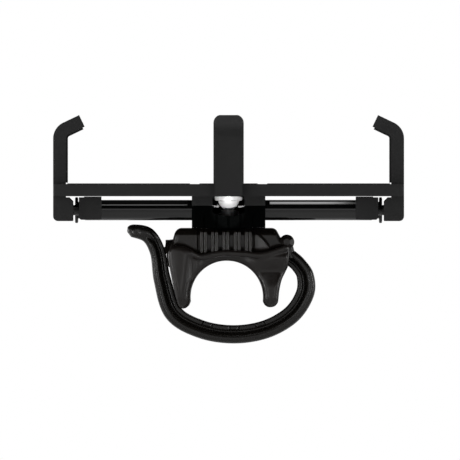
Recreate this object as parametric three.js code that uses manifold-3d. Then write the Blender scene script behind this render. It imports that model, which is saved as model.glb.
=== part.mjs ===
// Phone handlebar mount: a swivelling phone tray with two screw-driven jaws and a fixed front
// claw, on a saddle that a rubber ladder strap ties to a 22.2 mm handlebar.
//
// Millimetres, +Z up. The origin is on the handlebar's axis, halfway along the saddle. The
// handlebar runs along Y, the tray is long in X, and the front claw is on the -Y side. The
// jaws are drawn fully open.

import * as THREE from 'three';
import { mergeVertices } from 'three/addons/utils/BufferGeometryUtils.js';
import Module from 'manifold-3d';

const wasm = await Module();
wasm.setup();

// ---------------------------------------------------------------- driving dimensions

// Sides of a round piece, by its size
const SMALL_ROUND = 12;
const ROUND = 20;
const LARGE_ROUND = 28;

// Clearances between pieces
const RUNNING = 0.08; // radial or side play of anything that turns or slides
const SEAT = 0.03; // play of a piece that is fastened in place
const SLOT_PLAY = 0.3; // side play of a claw in its tray slot
const STRAP_PLAY = 0.4; // room that the soft strap keeps to hard pieces

// Handlebar, saddle and mount body. The outlines of saddle, mount body and strap are drawn for
// a handlebar of DRAWN_RADIUS and are scaled to the real one.
const BAR_RADIUS = 11.1;
const DRAWN_RADIUS = 11.1;
const BAR_SCALE = BAR_RADIUS / DRAWN_RADIUS;
const BAR_CLEARANCE = 0.1;
const ARCH_WRAP = 0.12; // how far past half a turn the saddle reaches round the handlebar
const SADDLE_DEPTH = 30;
const MOUNT_DEPTH = 26;
const DRAWN_TOP = 21.3;
const MOUNT_TOP = DRAWN_TOP * BAR_SCALE;
const SEAM_GAP = 0.06;
const SADDLE_SCREW_RADIUS = 1.25;
const SADDLE_SCREW_SPACING = 18;
const SADDLE_SCREW_TIP = MOUNT_TOP - 2.8;
const SADDLE_HEAD_RADIUS = 2.2;
const SADDLE_HEAD_TOP = BAR_RADIUS + 1.9;
const SADDLE_HEAD_LENGTH = 1.2;
const RIB_COUNT = 5;
const RIB_PITCH = 3.5;
const RIB_RADIUS = 1.1;
const RIB_LENGTH = 5.3;

// Swivel
const PIVOT_X = 0.55;
const POST_RADIUS = 5.2;
const POST_TOP_RADIUS = 2.2;
const POST_SPIGOT_RADIUS = 4;
const POST_TOP = MOUNT_TOP + 5.8;
const POST_FOOT = MOUNT_TOP - 4.3;
const BALL_RADIUS = 3.28;
const BALL_CENTRE = POST_TOP + 3.05;
const BALL_TOP = BALL_CENTRE - 0.39;
const THRUST_WASHER_RADIUS = 4.28;
const FRICTION_WASHER_RADIUS = 10.6;
const FRICTION_WASHER_RECESS = 0.6;
const PIVOT_SCREW_RADIUS = 1.25;
const PIVOT_SCREW_TIP = POST_TOP + 1.9;
const PIVOT_HEAD_RADIUS = 2.3;
const PIVOT_HEAD_TOP = POST_FOOT - 1.4;
const PIVOT_HEAD_LENGTH = 2;

// Hub, split through the guide rods
const HUB_HALF_LENGTH = 11.4;
const HUB_HALF_DEPTH = 17.5;
const HUB_SPLIT = POST_TOP + 1.2;
const HUB_SLOT_HALF = 5;
const HUB_SLOT_BACK = 5.6;
const HUB_SLOT_WALL = 0.8; // what is left between the slot and a front rod's end
const NOTCH_LIP = MOUNT_TOP + 3.6;
const NOTCH_RADIUS = 9.9;
const RETAINER_THICKNESS = 0.55;
const RETAINER_HALF_LENGTH = 7.2;
const RETAINER_FRONT = -6;
const RETAINER_BACK = 6.4;
const HUB_SCREW_X = 8.6;
const HUB_SCREW_Y = 7;
const HUB_SCREW_RADIUS = 1.25;
const HUB_HEAD_RADIUS = 2.2;
const HUB_HEAD_LENGTH = 2.2;
const HUB_GROOVES = 2;
const HUB_GROOVE_PITCH = 3.75;
const HUB_GROOVE_TOP = MOUNT_TOP + 4.2;
const HUB_GROOVE_RADIUS = 0.5;

// Phone tray
const TRAY_HALF_LENGTH = 54.4;
const TRAY_HALF_DEPTH = 27;
const TRAY_BOTTOM = HUB_SPLIT + 2.9;
const TRAY_THICKNESS = 3.8;
const TRAY_SLOT_START = 12.8;
const BLIND_DEPTH = 1.4;
const PAD_DEPTH = 0.6;
const PAD_PROUD = 0.2;
const PAD_MARGIN = 4.4;
const PAD_START = 12;
const PAD_SPACE = 3;
const PAD_EDGE = 1.3;
const CENTRE_PAD_EDGE = 5;

// Claws: a leg that bends inward into a hook
const CLAW_THICKNESS = 4;
const LINER_THICKNESS = 0.6;
const CLAW_WIDTH = 9.4;
const CLAW_SPACING = 30.6;
const LEG_HEIGHT = 14.1;
const BEND_RADIUS = 5.45;
const HOOK_RISE = THREE.MathUtils.degToRad(25.5);
const HOOK_LENGTH = 5.5;
const LINER_SHORT = 0.7;
const FRONT_CLAW_ROUND = 2.5;
const FRONT_CLAW_WAIST = 0.4;
const TONGUE_LENGTH = 9;
const TONGUE_THICKNESS = 1.5;
const CLAW_SCREW_SPACING = 4.4;
const CLAW_SCREW_INSET = 6;
const CLAW_SCREW_RADIUS = 1;
const CLAW_HEAD_RADIUS = 1.8;
const CLAW_HEAD_LENGTH = 0.9;

// Rods, lead screws and jaw blocks
const DRIVE_HEIGHT = HUB_SPLIT - 1.4;
const ROD_RADIUS = 3.15;
const ROD_SPACING = 26;
const ROD_ENGAGEMENT = 5.4;
const LEAD_RADIUS = 1.6;
const LEAD_ENGAGEMENT = 1.9;
const END_BLOCK_LENGTH = 6.3;
const END_BLOCK_DROP = 3.4;
const END_BLOCK_GAP = 0.32;
const NUT_GAP = 0.5;
const DISC_THICKNESS = 1;
const DISC_RADIUS = 4.03;
const DISC_TEETH = 30;
const DISC_TOOTH = 0.22;
const DISC_PLAY = 0.2;
const SLEEVE_RADIUS = 2.6;
const SLEEVE_LENGTH = 5;
const SLIDE_BLOCK_LENGTH = 7;
const SLIDE_BLOCK_DROP = 3;
const SLIDE_BLOCK_INSET = 1.5;
const BORE_MOUTH = 3;
const TIE_SPACING = 13.4;
const TIE_RADIUS = 1.6;
const TIE_HEAD_RADIUS = 2.6;
const TIE_HEAD_LENGTH = 2;

// Strap
const STRAP_WIDTH = 18;
const STRAP_TAB = 3.8;
const STRAP_FLANK = 4.7;
const STRAP_LOOP = 5.6;
const STRAP_ROOT = 4.9;
const DRAWN_FLEX_X = 2.1;
const FLEX_X = DRAWN_FLEX_X * BAR_SCALE;
const FLEX_GAP = 0.3;
const EYE = new THREE.Vector2(18.6 * BAR_SCALE, 17 * BAR_SCALE);
const EYE_RADIUS = 2.35;
const CHEEK_RADIUS = 2.4;
const PIN_RADIUS = 1.1;
const PIN_HALF_LENGTH = 12.4;
const HOOK_WIDTH = 6.4;
const ROOT_FLANK = 18.4;
const ROOT_FOOT = 9.4;
const HOLE_WIDTH = 8;
const HOLE_LENGTH = 3.7;
const HOLE_DEPTH = 2.2;

// Sizes that follow from the ones above
const TRAY_TOP = TRAY_BOTTOM + TRAY_THICKNESS;
const HUB_SCREW_TIP = TRAY_TOP - BLIND_DEPTH;
const CLAW_SCREW_TIP = TRAY_TOP - BLIND_DEPTH;
const CLAW_SCREW_Y = -TRAY_HALF_DEPTH + CLAW_SCREW_INSET;
const BEND_HEIGHT = TRAY_TOP + LEG_HEIGHT;
const HUB_BOTTOM = MOUNT_TOP + RUNNING;
const END_BLOCK_INNER = TRAY_HALF_LENGTH - END_BLOCK_LENGTH;
const DISC_OUTER = END_BLOCK_INNER - NUT_GAP;
const DISC_INNER = DISC_OUTER - DISC_THICKNESS;
const SLIDE_OUTER = DISC_INNER - DISC_PLAY;
const SLIDE_INNER = SLIDE_OUTER - SLIDE_BLOCK_LENGTH;
const END_BLOCK_BOTTOM = DRIVE_HEIGHT - END_BLOCK_DROP;
const SLIDE_BLOCK_BOTTOM = DRIVE_HEIGHT - SLIDE_BLOCK_DROP;
const ROD_HALF_LENGTH = SLIDE_INNER + ROD_ENGAGEMENT;
const ROD_ROOT = HUB_SLOT_HALF + HUB_SLOT_WALL;
const LEAD_ROOT = RETAINER_HALF_LENGTH + 0.4;
const LEAD_END = END_BLOCK_INNER + LEAD_ENGAGEMENT;
const JAW_HALF_DEPTH = (CLAW_SPACING + CLAW_WIDTH) / 2;
const SLIDE_HALF_DEPTH = JAW_HALF_DEPTH - SLIDE_BLOCK_INSET;
const CLAW_FULL = CLAW_THICKNESS + LINER_THICKNESS;
const clawScrewPlaces = [-CLAW_SCREW_SPACING / 2, CLAW_SCREW_SPACING / 2];
const saddleScrewPlaces = [-SADDLE_SCREW_SPACING / 2, SADDLE_SCREW_SPACING / 2];

// ---------------------------------------------------------------- solids

// A closed three.js geometry as a manifold-3d solid.
function solidOf(geometry) {
  const bare = geometry.clone();
  bare.deleteAttribute('normal');
  bare.deleteAttribute('uv');
  const merged = mergeVertices(bare, 1e-4);
  return new wasm.Manifold(new wasm.Mesh({
    numProp: 3,
    vertProperties: new Float32Array(merged.attributes.position.array),
    triVerts: new Uint32Array(merged.index.array),
  }));
}

// A manifold-3d solid as a named three.js mesh.
function meshOf(name, solid, material) {
  const result = solid.getMesh();
  const geometry = new THREE.BufferGeometry();
  geometry.setAttribute('position', new THREE.BufferAttribute(result.vertProperties, 3));
  geometry.setIndex(new THREE.BufferAttribute(result.triVerts, 1));
  geometry.computeVertexNormals();
  const mesh = new THREE.Mesh(geometry, material);
  mesh.name = name;
  return mesh;
}

// A box between two corners.
function box(x0, x1, y0, y1, z0, z1) {
  const geometry = new THREE.BoxGeometry(x1 - x0, y1 - y0, z1 - z0);
  geometry.translate((x0 + x1) / 2, (y0 + y1) / 2, (z0 + z1) / 2);
  return solidOf(geometry);
}

// A cylinder along X, Y or Z between two places on its axis.
function cylinderX(radius, x0, x1, y, z, segments = ROUND) {
  const geometry = new THREE.CylinderGeometry(radius, radius, x1 - x0, segments);
  geometry.rotateZ(Math.PI / 2);
  geometry.translate((x0 + x1) / 2, y, z);
  return solidOf(geometry);
}

function cylinderY(radius, y0, y1, x, z, segments = ROUND) {
  const geometry = new THREE.CylinderGeometry(radius, radius, y1 - y0, segments);
  geometry.translate(x, (y0 + y1) / 2, z);
  return solidOf(geometry);
}

function cylinderZ(radius, z0, z1, x, y, segments = ROUND) {
  const geometry = new THREE.CylinderGeometry(radius, radius, z1 - z0, segments);
  geometry.rotateX(Math.PI / 2);
  geometry.translate(x, y, (z0 + z1) / 2);
  return solidOf(geometry);
}

// A thin cylinder along Z, such as a screw's shank, its head or the hole for either.
function thinZ(radius, z0, z1, x, y) {
  return cylinderZ(radius, z0, z1, x, y, SMALL_ROUND);
}

// An outline extruded along Y, Z or X. The outline's own axes are X-Z, X-Y and Y-Z.
function extrude(shape, from, to, basis, curveSegments = 3) {
  const geometry = new THREE.ExtrudeGeometry(shape, { depth: to - from, bevelEnabled: false, curveSegments });
  geometry.translate(0, 0, from);
  geometry.applyMatrix4(basis);
  return solidOf(geometry);
}

function alongY(shape, y0, y1, curveSegments) {
  const basis = new THREE.Matrix4().makeRotationX(Math.PI / 2);
  return extrude(shape, -y1, -y0, basis, curveSegments);
}

function alongZ(shape, z0, z1) {
  return extrude(shape, z0, z1, new THREE.Matrix4());
}

function alongX(shape, x0, x1) {
  const basis = new THREE.Matrix4().makeBasis(
    new THREE.Vector3(0, 1, 0),
    new THREE.Vector3(0, 0, 1),
    new THREE.Vector3(1, 0, 0),
  );
  return extrude(shape, x0, x1, basis);
}

// A solid of revolution about the swivel axis, from radius and height pairs that run up its
// outside. A profile that starts off the axis closes on itself.
function turned(profile, segments = LARGE_ROUND) {
  const points = profile.map(([radius, height]) => new THREE.Vector2(radius, height));
  if (profile[0][0] > 0) points.push(points[0].clone());
  const geometry = new THREE.LatheGeometry(points, segments);
  geometry.rotateX(Math.PI / 2);
  geometry.translate(PIVOT_X, 0, 0);
  return solidOf(geometry);
}

// A closed outline through corners [x, y, radius]; a radius rounds its corner with an arc.
function outline(corners) {
  const shape = new THREE.Shape();
  const count = corners.length;
  corners.forEach(([x, y, radius = 0], index) => {
    const corner = new THREE.Vector2(x, y);
    const before = new THREE.Vector2(...corners[(index + count - 1) % count].slice(0, 2));
    const after = new THREE.Vector2(...corners[(index + 1) % count].slice(0, 2));
    const back = before.sub(corner).normalize();
    const ahead = after.sub(corner).normalize();
    const move = index === 0 ? 'moveTo' : 'lineTo';
    if (radius === 0) {
      shape[move](x, y);
      return;
    }
    const half = back.angleTo(ahead) / 2;
    const trim = radius / Math.tan(half);
    const start = corner.clone().addScaledVector(back, trim);
    const end = corner.clone().addScaledVector(ahead, trim);
    const middle = back.clone().add(ahead).normalize();
    const centre = corner.clone().addScaledVector(middle, radius / Math.sin(half));
    const from = start.clone().sub(centre).angle();
    const to = end.clone().sub(centre).angle();
    const clockwise = back.cross(ahead) > 0;
    shape[move](start.x, start.y);
    shape.absarc(centre.x, centre.y, radius, from, to, clockwise);
  });
  shape.closePath();
  return shape;
}

// A rectangle with round corners, as an outline.
function rectangle(x0, x1, y0, y1, radius = 0) {
  return outline([[x0, y0, radius], [x1, y0, radius], [x1, y1, radius], [x0, y1, radius]]);
}

// ---------------------------------------------------------------- materials

const finish = (color, roughness, metalness) => {
  return new THREE.MeshStandardMaterial({ color, roughness, metalness });
};
const ANODISED = finish(0x2a2a2a, 0.55, 0.6);
const MOULDED = finish(0x161514, 0.45, 0);
const RUBBER = finish(0x231f1c, 0.6, 0);
const SILICONE = finish(0x101010, 0.8, 0);
const GLOSS_BLACK = finish(0x080808, 0.15, 0.8);
const BRIGHT_STEEL = finish(0xd0d0d0, 0.2, 1);
const BLACK_STEEL = finish(0x1c1c1c, 0.4, 0.9);

// ---------------------------------------------------------------- saddle and mount body

// Scales what is drawn round the handlebar to the real handlebar.
function toBar(solid) {
  return solid.scale([BAR_SCALE, 1, BAR_SCALE]);
}

// The joint line between mount body and saddle, seen along the handlebar.
const seam = new THREE.SplineCurve([
  new THREE.Vector2(-18.2, 13.9),
  new THREE.Vector2(-15.3, 16),
  new THREE.Vector2(-8.4, 13.6),
  new THREE.Vector2(0, 14.5),
  new THREE.Vector2(9.5, 14),
  new THREE.Vector2(15.1, 15.2),
  new THREE.Vector2(18.2, 15.8),
]).getPoints(24);

// The pocket that the strap's eye turns in, wide enough for the strap when it is given play.
function eyePocket(halfWidth) {
  const room = cylinderY(EYE_RADIUS + STRAP_PLAY, -halfWidth, halfWidth, EYE.x, EYE.y);
  const mouth = box(EYE.x, EYE.x + 2 * EYE_RADIUS, -halfWidth, halfWidth, EYE.y - EYE_RADIUS, EYE.y + 1);
  return room.add(mouth);
}

function eyePin(play) {
  return cylinderY(PIN_RADIUS + play, -PIN_HALF_LENGTH, PIN_HALF_LENGTH, EYE.x, EYE.y, SMALL_ROUND);
}

function mountBody() {
  const shape = new THREE.Shape();
  shape.moveTo(-16.6, 18.2);
  shape.lineTo(-16.2, 19.7);
  shape.quadraticCurveTo(-15.4, DRAWN_TOP, -14, DRAWN_TOP);
  shape.lineTo(13.8, DRAWN_TOP);
  shape.quadraticCurveTo(15, DRAWN_TOP, 15.6, 20.4);
  shape.lineTo(16.4, 18.9);
  [...seam].reverse().forEach((point) => shape.lineTo(point.x, point.y + SEAM_GAP));
  shape.closePath();
  let body = toBar(alongY(shape, -MOUNT_DEPTH / 2, MOUNT_DEPTH / 2));
  for (let index = 0; index < RIB_COUNT; index += 1) {
    const x = (index - (RIB_COUNT - 1) / 2) * RIB_PITCH;
    for (const side of [-1, 1]) {
      const y = side * MOUNT_DEPTH / 2;
      body = body.add(cylinderZ(RIB_RADIUS, MOUNT_TOP - RIB_LENGTH, MOUNT_TOP - 0.3, x, y, 8));
    }
  }
  for (const side of [-1, 1]) {
    const inner = side * (STRAP_WIDTH / 2 + SLOT_PLAY);
    const outer = side * MOUNT_DEPTH / 2;
    const from = Math.min(inner, outer);
    body = body.add(cylinderY(CHEEK_RADIUS, from, from + Math.abs(outer - inner), EYE.x, EYE.y));
  }
  const spigot = cylinderZ(POST_SPIGOT_RADIUS + SEAT, POST_FOOT, MOUNT_TOP + 1, PIVOT_X, 0, LARGE_ROUND);
  const recess = cylinderZ(
    FRICTION_WASHER_RADIUS + 0.1,
    MOUNT_TOP - FRICTION_WASHER_RECESS,
    MOUNT_TOP + 1,
    PIVOT_X,
    0,
    LARGE_ROUND,
  );
  body = body.subtract(spigot).subtract(recess).subtract(eyePocket(STRAP_WIDTH / 2 + SLOT_PLAY));
  body = body.subtract(thinZ(PIVOT_SCREW_RADIUS + 0.1, 0, POST_FOOT + 1, PIVOT_X, 0));
  body = body.subtract(thinZ(PIVOT_HEAD_RADIUS + 0.1, 0, PIVOT_HEAD_TOP, PIVOT_X, 0));
  body = body.subtract(eyePin(SEAT));
  for (const y of saddleScrewPlaces) {
    body = body.subtract(thinZ(SADDLE_SCREW_RADIUS + SEAT, 0, SADDLE_SCREW_TIP + 0.3, PIVOT_X, y));
  }
  return body.subtract(hookTongue(SEAT));
}

// The arch that sits on the handlebar, with a leg down each side of it.
function barSaddle() {
  const shape = new THREE.Shape();
  shape.moveTo(seam[0].x, seam[0].y);
  shape.splineThru([
    new THREE.Vector2(-18.1, 11.4),
    new THREE.Vector2(-17.2, 6.2),
    new THREE.Vector2(-16.1, 1),
    new THREE.Vector2(-15, -2.7),
    new THREE.Vector2(-13.6, -3.6),
    new THREE.Vector2(-12.1, -3.2),
    new THREE.Vector2(-11.4, -2.2),
  ]);
  const arch = DRAWN_RADIUS + BAR_CLEARANCE / BAR_SCALE;
  shape.absarc(0, 0, arch, Math.PI + ARCH_WRAP, -ARCH_WRAP, true);
  shape.splineThru([
    new THREE.Vector2(11.9, -2.7),
    new THREE.Vector2(13.6, -3.4),
    new THREE.Vector2(15.5, -2.3),
    new THREE.Vector2(16.1, 0.6),
    new THREE.Vector2(17, 5.2),
    new THREE.Vector2(18.6, 8.6),
    new THREE.Vector2(19.3, 12),
    seam[24],
  ]);
  [...seam].reverse().slice(1, -1).forEach((point) => shape.lineTo(point.x, point.y));
  shape.closePath();
  let saddle = toBar(alongY(shape, -SADDLE_DEPTH / 2, SADDLE_DEPTH / 2, 12));
  saddle = saddle.subtract(cylinderY(CHEEK_RADIUS + 0.1, -SADDLE_DEPTH, SADDLE_DEPTH, EYE.x, EYE.y));
  saddle = saddle.subtract(eyePocket(STRAP_WIDTH / 2 + SLOT_PLAY));
  for (const y of saddleScrewPlaces) {
    saddle = saddle.subtract(thinZ(SADDLE_SCREW_RADIUS + SEAT, 0, MOUNT_TOP, PIVOT_X, y));
    saddle = saddle.subtract(thinZ(SADDLE_HEAD_RADIUS + SEAT, 0, SADDLE_HEAD_TOP, PIVOT_X, y));
  }
  saddle = saddle.subtract(thinZ(PIVOT_HEAD_RADIUS + 0.1, 0, MOUNT_TOP, PIVOT_X, 0));
  return saddle.subtract(hookTongue(SEAT)).subtract(strapChannel());
}

// The room for the strap in the saddle: a groove down the left leg and a pocket at the root.
function strapChannel() {
  const half = STRAP_WIDTH / 2 + SLOT_PLAY;
  const groove = alongY(strapOutline(STRAP_PLAY, 22), -half, half);
  return groove.add(toBar(box(ROOT_FLANK - STRAP_PLAY, 25, -half, half, ROOT_FOOT - 1.5, 17)));
}

// The catch for the strap: a plate on the saddle's left flank, with a tongue into the mount
// body and a tooth that slopes away from the path that the strap leaves on.
function hookTongue(play) {
  const half = HOOK_WIDTH / 2 + play;
  const tongue = box(-18.9, -14.5 + play, -half, half, 16.2 - play, 17.7 + play);
  const plate = box(-19 - play, -18.3 + play, -half, half, 13.4 - play, 17.7 + play);
  return toBar(tongue.add(plate));
}

function strapHook() {
  const tooth = outline([
    [-19.2, 13.6],
    [-18.4, 13.6],
    [-18.4, 16],
    [-19.2, 15.6],
    [-20.6, 14.2, 0.2],
    [-20.6, 13.6, 0.2],
  ]);
  return hookTongue(0).add(toBar(alongY(tooth, -HOOK_WIDTH / 2, HOOK_WIDTH / 2)));
}

// ---------------------------------------------------------------- swivel

function pivotPost() {
  const shoulder = MOUNT_TOP - FRICTION_WASHER_RECESS;
  const slope = POST_RADIUS - POST_TOP_RADIUS;
  const bore = PIVOT_SCREW_RADIUS + SEAT;
  return turned([
    [bore, POST_FOOT],
    [POST_SPIGOT_RADIUS, POST_FOOT],
    [POST_SPIGOT_RADIUS, shoulder],
    [POST_RADIUS, shoulder],
    [POST_RADIUS, POST_TOP - slope],
    [POST_TOP_RADIUS, POST_TOP],
    [bore, POST_TOP],
  ]);
}

// The lower half of a ball, flat on top, with a blind hole for the pivot screw.
function pivotBall() {
  const profile = [[0, POST_TOP], [Math.sqrt(BALL_RADIUS ** 2 - (BALL_CENTRE - POST_TOP) ** 2), POST_TOP]];
  const first = Math.asin((POST_TOP - BALL_CENTRE) / BALL_RADIUS);
  const last = Math.asin((BALL_TOP - BALL_CENTRE) / BALL_RADIUS);
  const steps = 8;
  for (let step = 1; step <= steps; step += 1) {
    const angle = first + ((last - first) * step) / steps;
    profile.push([BALL_RADIUS * Math.cos(angle), BALL_CENTRE + BALL_RADIUS * Math.sin(angle)]);
  }
  profile.push([0, BALL_TOP]);
  const hole = thinZ(PIVOT_SCREW_RADIUS + SEAT, POST_TOP - 1, PIVOT_SCREW_TIP + 0.2, PIVOT_X, 0);
  return turned(profile).subtract(hole);
}

function pivotScrew() {
  const headBottom = PIVOT_HEAD_TOP - PIVOT_HEAD_LENGTH;
  return turned([
    [0, headBottom],
    [PIVOT_HEAD_RADIUS, headBottom],
    [PIVOT_HEAD_RADIUS, PIVOT_HEAD_TOP],
    [PIVOT_SCREW_RADIUS, PIVOT_HEAD_TOP],
    [PIVOT_SCREW_RADIUS, PIVOT_SCREW_TIP],
    [0, PIVOT_SCREW_TIP],
  ], SMALL_ROUND);
}

function frictionWasher() {
  const bottom = MOUNT_TOP - FRICTION_WASHER_RECESS;
  const top = HUB_BOTTOM - SEAT;
  const inner = POST_RADIUS + 0.1;
  const outer = FRICTION_WASHER_RADIUS;
  return turned([[inner, bottom], [outer, bottom], [outer, top], [inner, top]]);
}

function saddleScrew(y) {
  const headBottom = SADDLE_HEAD_TOP - SADDLE_HEAD_LENGTH;
  const head = thinZ(SADDLE_HEAD_RADIUS, headBottom, SADDLE_HEAD_TOP, PIVOT_X, y);
  return head.add(thinZ(SADDLE_SCREW_RADIUS, headBottom, SADDLE_SCREW_TIP, PIVOT_X, y));
}

// ---------------------------------------------------------------- hub, centred on the swivel

const rodPlaces = [-ROD_SPACING / 2, ROD_SPACING / 2];
const rods = {
  front_left_rod: [-ROD_HALF_LENGTH, -ROD_ROOT, rodPlaces[0]],
  front_right_rod: [ROD_ROOT, ROD_HALF_LENGTH, rodPlaces[0]],
  rear_rod: [-ROD_HALF_LENGTH, ROD_HALF_LENGTH, rodPlaces[1]],
};
const hubScrewPlaces = [
  [-HUB_SCREW_X, -HUB_SCREW_Y],
  [HUB_SCREW_X, -HUB_SCREW_Y],
  [-HUB_SCREW_X, HUB_SCREW_Y],
  [HUB_SCREW_X, HUB_SCREW_Y],
];

// What both halves of the hub are cut by: rods, lead screws and clamping screws.
function hubBores() {
  const end = HUB_HALF_LENGTH + 1;
  let bores = cylinderX(LEAD_RADIUS + SEAT, -end, -LEAD_ROOT + SEAT, 0, DRIVE_HEIGHT, SMALL_ROUND);
  bores = bores.add(cylinderX(LEAD_RADIUS + SEAT, LEAD_ROOT - SEAT, end, 0, DRIVE_HEIGHT, SMALL_ROUND));
  for (const [x0, x1, y] of Object.values(rods)) {
    bores = bores.add(cylinderX(ROD_RADIUS + SEAT, x0 - SEAT, x1 + SEAT, y, DRIVE_HEIGHT));
  }
  for (const [x, y] of hubScrewPlaces) {
    bores = bores.add(thinZ(HUB_SCREW_RADIUS + SEAT, HUB_BOTTOM - 1, TRAY_TOP, x, y));
  }
  return bores;
}

// The retainer that the half-ball hangs the head on: a horseshoe open to the front.
function retainerOutline(play) {
  const x = RETAINER_HALF_LENGTH + play;
  return rectangle(-x, x, RETAINER_FRONT - play, RETAINER_BACK + play, 1);
}

function ballRetainer() {
  const plate = alongZ(retainerOutline(0), HUB_SPLIT - RETAINER_THICKNESS, HUB_SPLIT);
  const gap = BALL_RADIUS - 0.3;
  const round = cylinderZ(gap, HUB_SPLIT - 2, HUB_SPLIT + 1, 0, 0, LARGE_ROUND);
  return plate.subtract(round).subtract(box(-gap, gap, -9, 0, HUB_SPLIT - 2, HUB_SPLIT + 1));
}

function hubHousing() {
  const ends = rectangle(-HUB_HALF_LENGTH, HUB_HALF_LENGTH, -HUB_HALF_DEPTH, HUB_HALF_DEPTH, 1.2);
  let housing = alongZ(ends, HUB_BOTTOM, HUB_SPLIT - SEAT);
  const high = NOTCH_LIP + NOTCH_RADIUS;
  const trough = cylinderY(NOTCH_RADIUS, -HUB_HALF_DEPTH - 1, HUB_SLOT_BACK, 0, high, 48);
  const walls = box(-HUB_SLOT_HALF, HUB_SLOT_HALF, -HUB_HALF_DEPTH - 2, HUB_SLOT_BACK + 1, 0, TRAY_TOP);
  housing = housing.subtract(trough.intersect(walls));
  housing = housing.subtract(cylinderZ(POST_RADIUS + RUNNING, 0, HUB_SPLIT + 1, 0, 0, LARGE_ROUND));
  const floor = HUB_SPLIT - RETAINER_THICKNESS - SEAT;
  housing = housing.subtract(alongZ(retainerOutline(SEAT), floor, HUB_SPLIT + 1));
  for (const [x, y] of hubScrewPlaces) {
    const head = thinZ(HUB_HEAD_RADIUS + SEAT, HUB_BOTTOM - 1, HUB_BOTTOM + HUB_HEAD_LENGTH, x, y);
    housing = housing.subtract(head);
  }
  for (const side of [-1, 1]) {
    for (let index = -HUB_GROOVES; index <= HUB_GROOVES; index += 1) {
      const x = index * HUB_GROOVE_PITCH;
      const y = side * (HUB_HALF_DEPTH + 0.1);
      housing = housing.subtract(cylinderZ(HUB_GROOVE_RADIUS, HUB_BOTTOM - 1, HUB_GROOVE_TOP, x, y, 6));
    }
  }
  return housing.subtract(hubBores());
}

function hubBlock() {
  const ends = rectangle(-HUB_HALF_LENGTH, HUB_HALF_LENGTH, -HUB_HALF_DEPTH, HUB_HALF_DEPTH, 1.2);
  const block = alongZ(ends, HUB_SPLIT, TRAY_BOTTOM);
  const slot = rectangle(-HUB_SLOT_HALF, HUB_SLOT_HALF, -HUB_HALF_DEPTH - 4, HUB_SLOT_BACK, 1.5);
  return block.subtract(alongZ(slot, HUB_SPLIT - 1, TRAY_BOTTOM + 1)).subtract(hubBores());
}

function hubScrew([x, y]) {
  const head = thinZ(HUB_HEAD_RADIUS, HUB_BOTTOM + 0.2, HUB_BOTTOM + HUB_HEAD_LENGTH, x, y);
  return head.add(thinZ(HUB_SCREW_RADIUS, HUB_BOTTOM + 0.2, HUB_SCREW_TIP, x, y));
}

function thrustWasher() {
  return cylinderZ(THRUST_WASHER_RADIUS, BALL_TOP + SEAT, TRAY_BOTTOM - SEAT, 0, 0, LARGE_ROUND);
}

// The front rod is in two, so that the slot in front of the swivel stays open.
function guideRod([x0, x1, y]) {
  return cylinderX(ROD_RADIUS, x0, x1, y, DRIVE_HEIGHT);
}

function leadScrew(side) {
  const near = side * LEAD_ROOT;
  const far = side * LEAD_END;
  return cylinderX(LEAD_RADIUS, Math.min(near, far), Math.max(near, far), 0, DRIVE_HEIGHT, SMALL_ROUND);
}

// ---------------------------------------------------------------- tray and claws

const slotPlaces = [-CLAW_SPACING / 2, CLAW_SPACING / 2];
const pads = {
  left_tray_pad: [-TRAY_HALF_LENGTH + PAD_MARGIN, -PAD_START],
  centre_tray_pad: [-PAD_START + PAD_SPACE, PAD_START - PAD_SPACE],
  right_tray_pad: [PAD_START, TRAY_HALF_LENGTH - PAD_MARGIN],
};

function padOutline([x0, x1], play) {
  const inner = CLAW_SPACING / 2 - CLAW_WIDTH / 2 - SLOT_PLAY;
  const half = x0 * x1 < 0 ? TRAY_HALF_DEPTH - CENTRE_PAD_EDGE : inner - PAD_EDGE;
  return rectangle(x0 - play, x1 + play, -half - play, half + play, 1.5);
}

function tray() {
  const ends = rectangle(-TRAY_HALF_LENGTH, TRAY_HALF_LENGTH, -TRAY_HALF_DEPTH, TRAY_HALF_DEPTH, 0.8);
  let plate = alongZ(ends, TRAY_BOTTOM, TRAY_TOP);
  const half = CLAW_WIDTH / 2 + SLOT_PLAY;
  for (const y of slotPlaces) {
    for (const side of [-1, 1]) {
      const [x0, x1] = [side * TRAY_SLOT_START, side * (TRAY_HALF_LENGTH + 5)].sort((a, b) => a - b);
      const slot = rectangle(x0, x1, y - half, y + half, 1);
      plate = plate.subtract(alongZ(slot, TRAY_BOTTOM - 1, TRAY_TOP + 1));
    }
  }
  for (const span of Object.values(pads)) {
    plate = plate.subtract(alongZ(padOutline(span, SEAT), TRAY_TOP - PAD_DEPTH - SEAT, TRAY_TOP + 1));
  }
  for (const [x, y] of hubScrewPlaces) {
    plate = plate.subtract(thinZ(HUB_SCREW_RADIUS + SEAT, TRAY_BOTTOM - 1, HUB_SCREW_TIP + 0.1, x, y));
  }
  for (const x of clawScrewPlaces) {
    const radius = CLAW_SCREW_RADIUS + SEAT;
    plate = plate.subtract(thinZ(radius, TRAY_BOTTOM - 1, CLAW_SCREW_TIP + 0.1, x, CLAW_SCREW_Y));
  }
  return plate.subtract(frontTongue(SEAT));
}

function trayPad(span) {
  return alongZ(padOutline(span, 0), TRAY_TOP - PAD_DEPTH, TRAY_TOP + PAD_PROUD);
}

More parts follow.
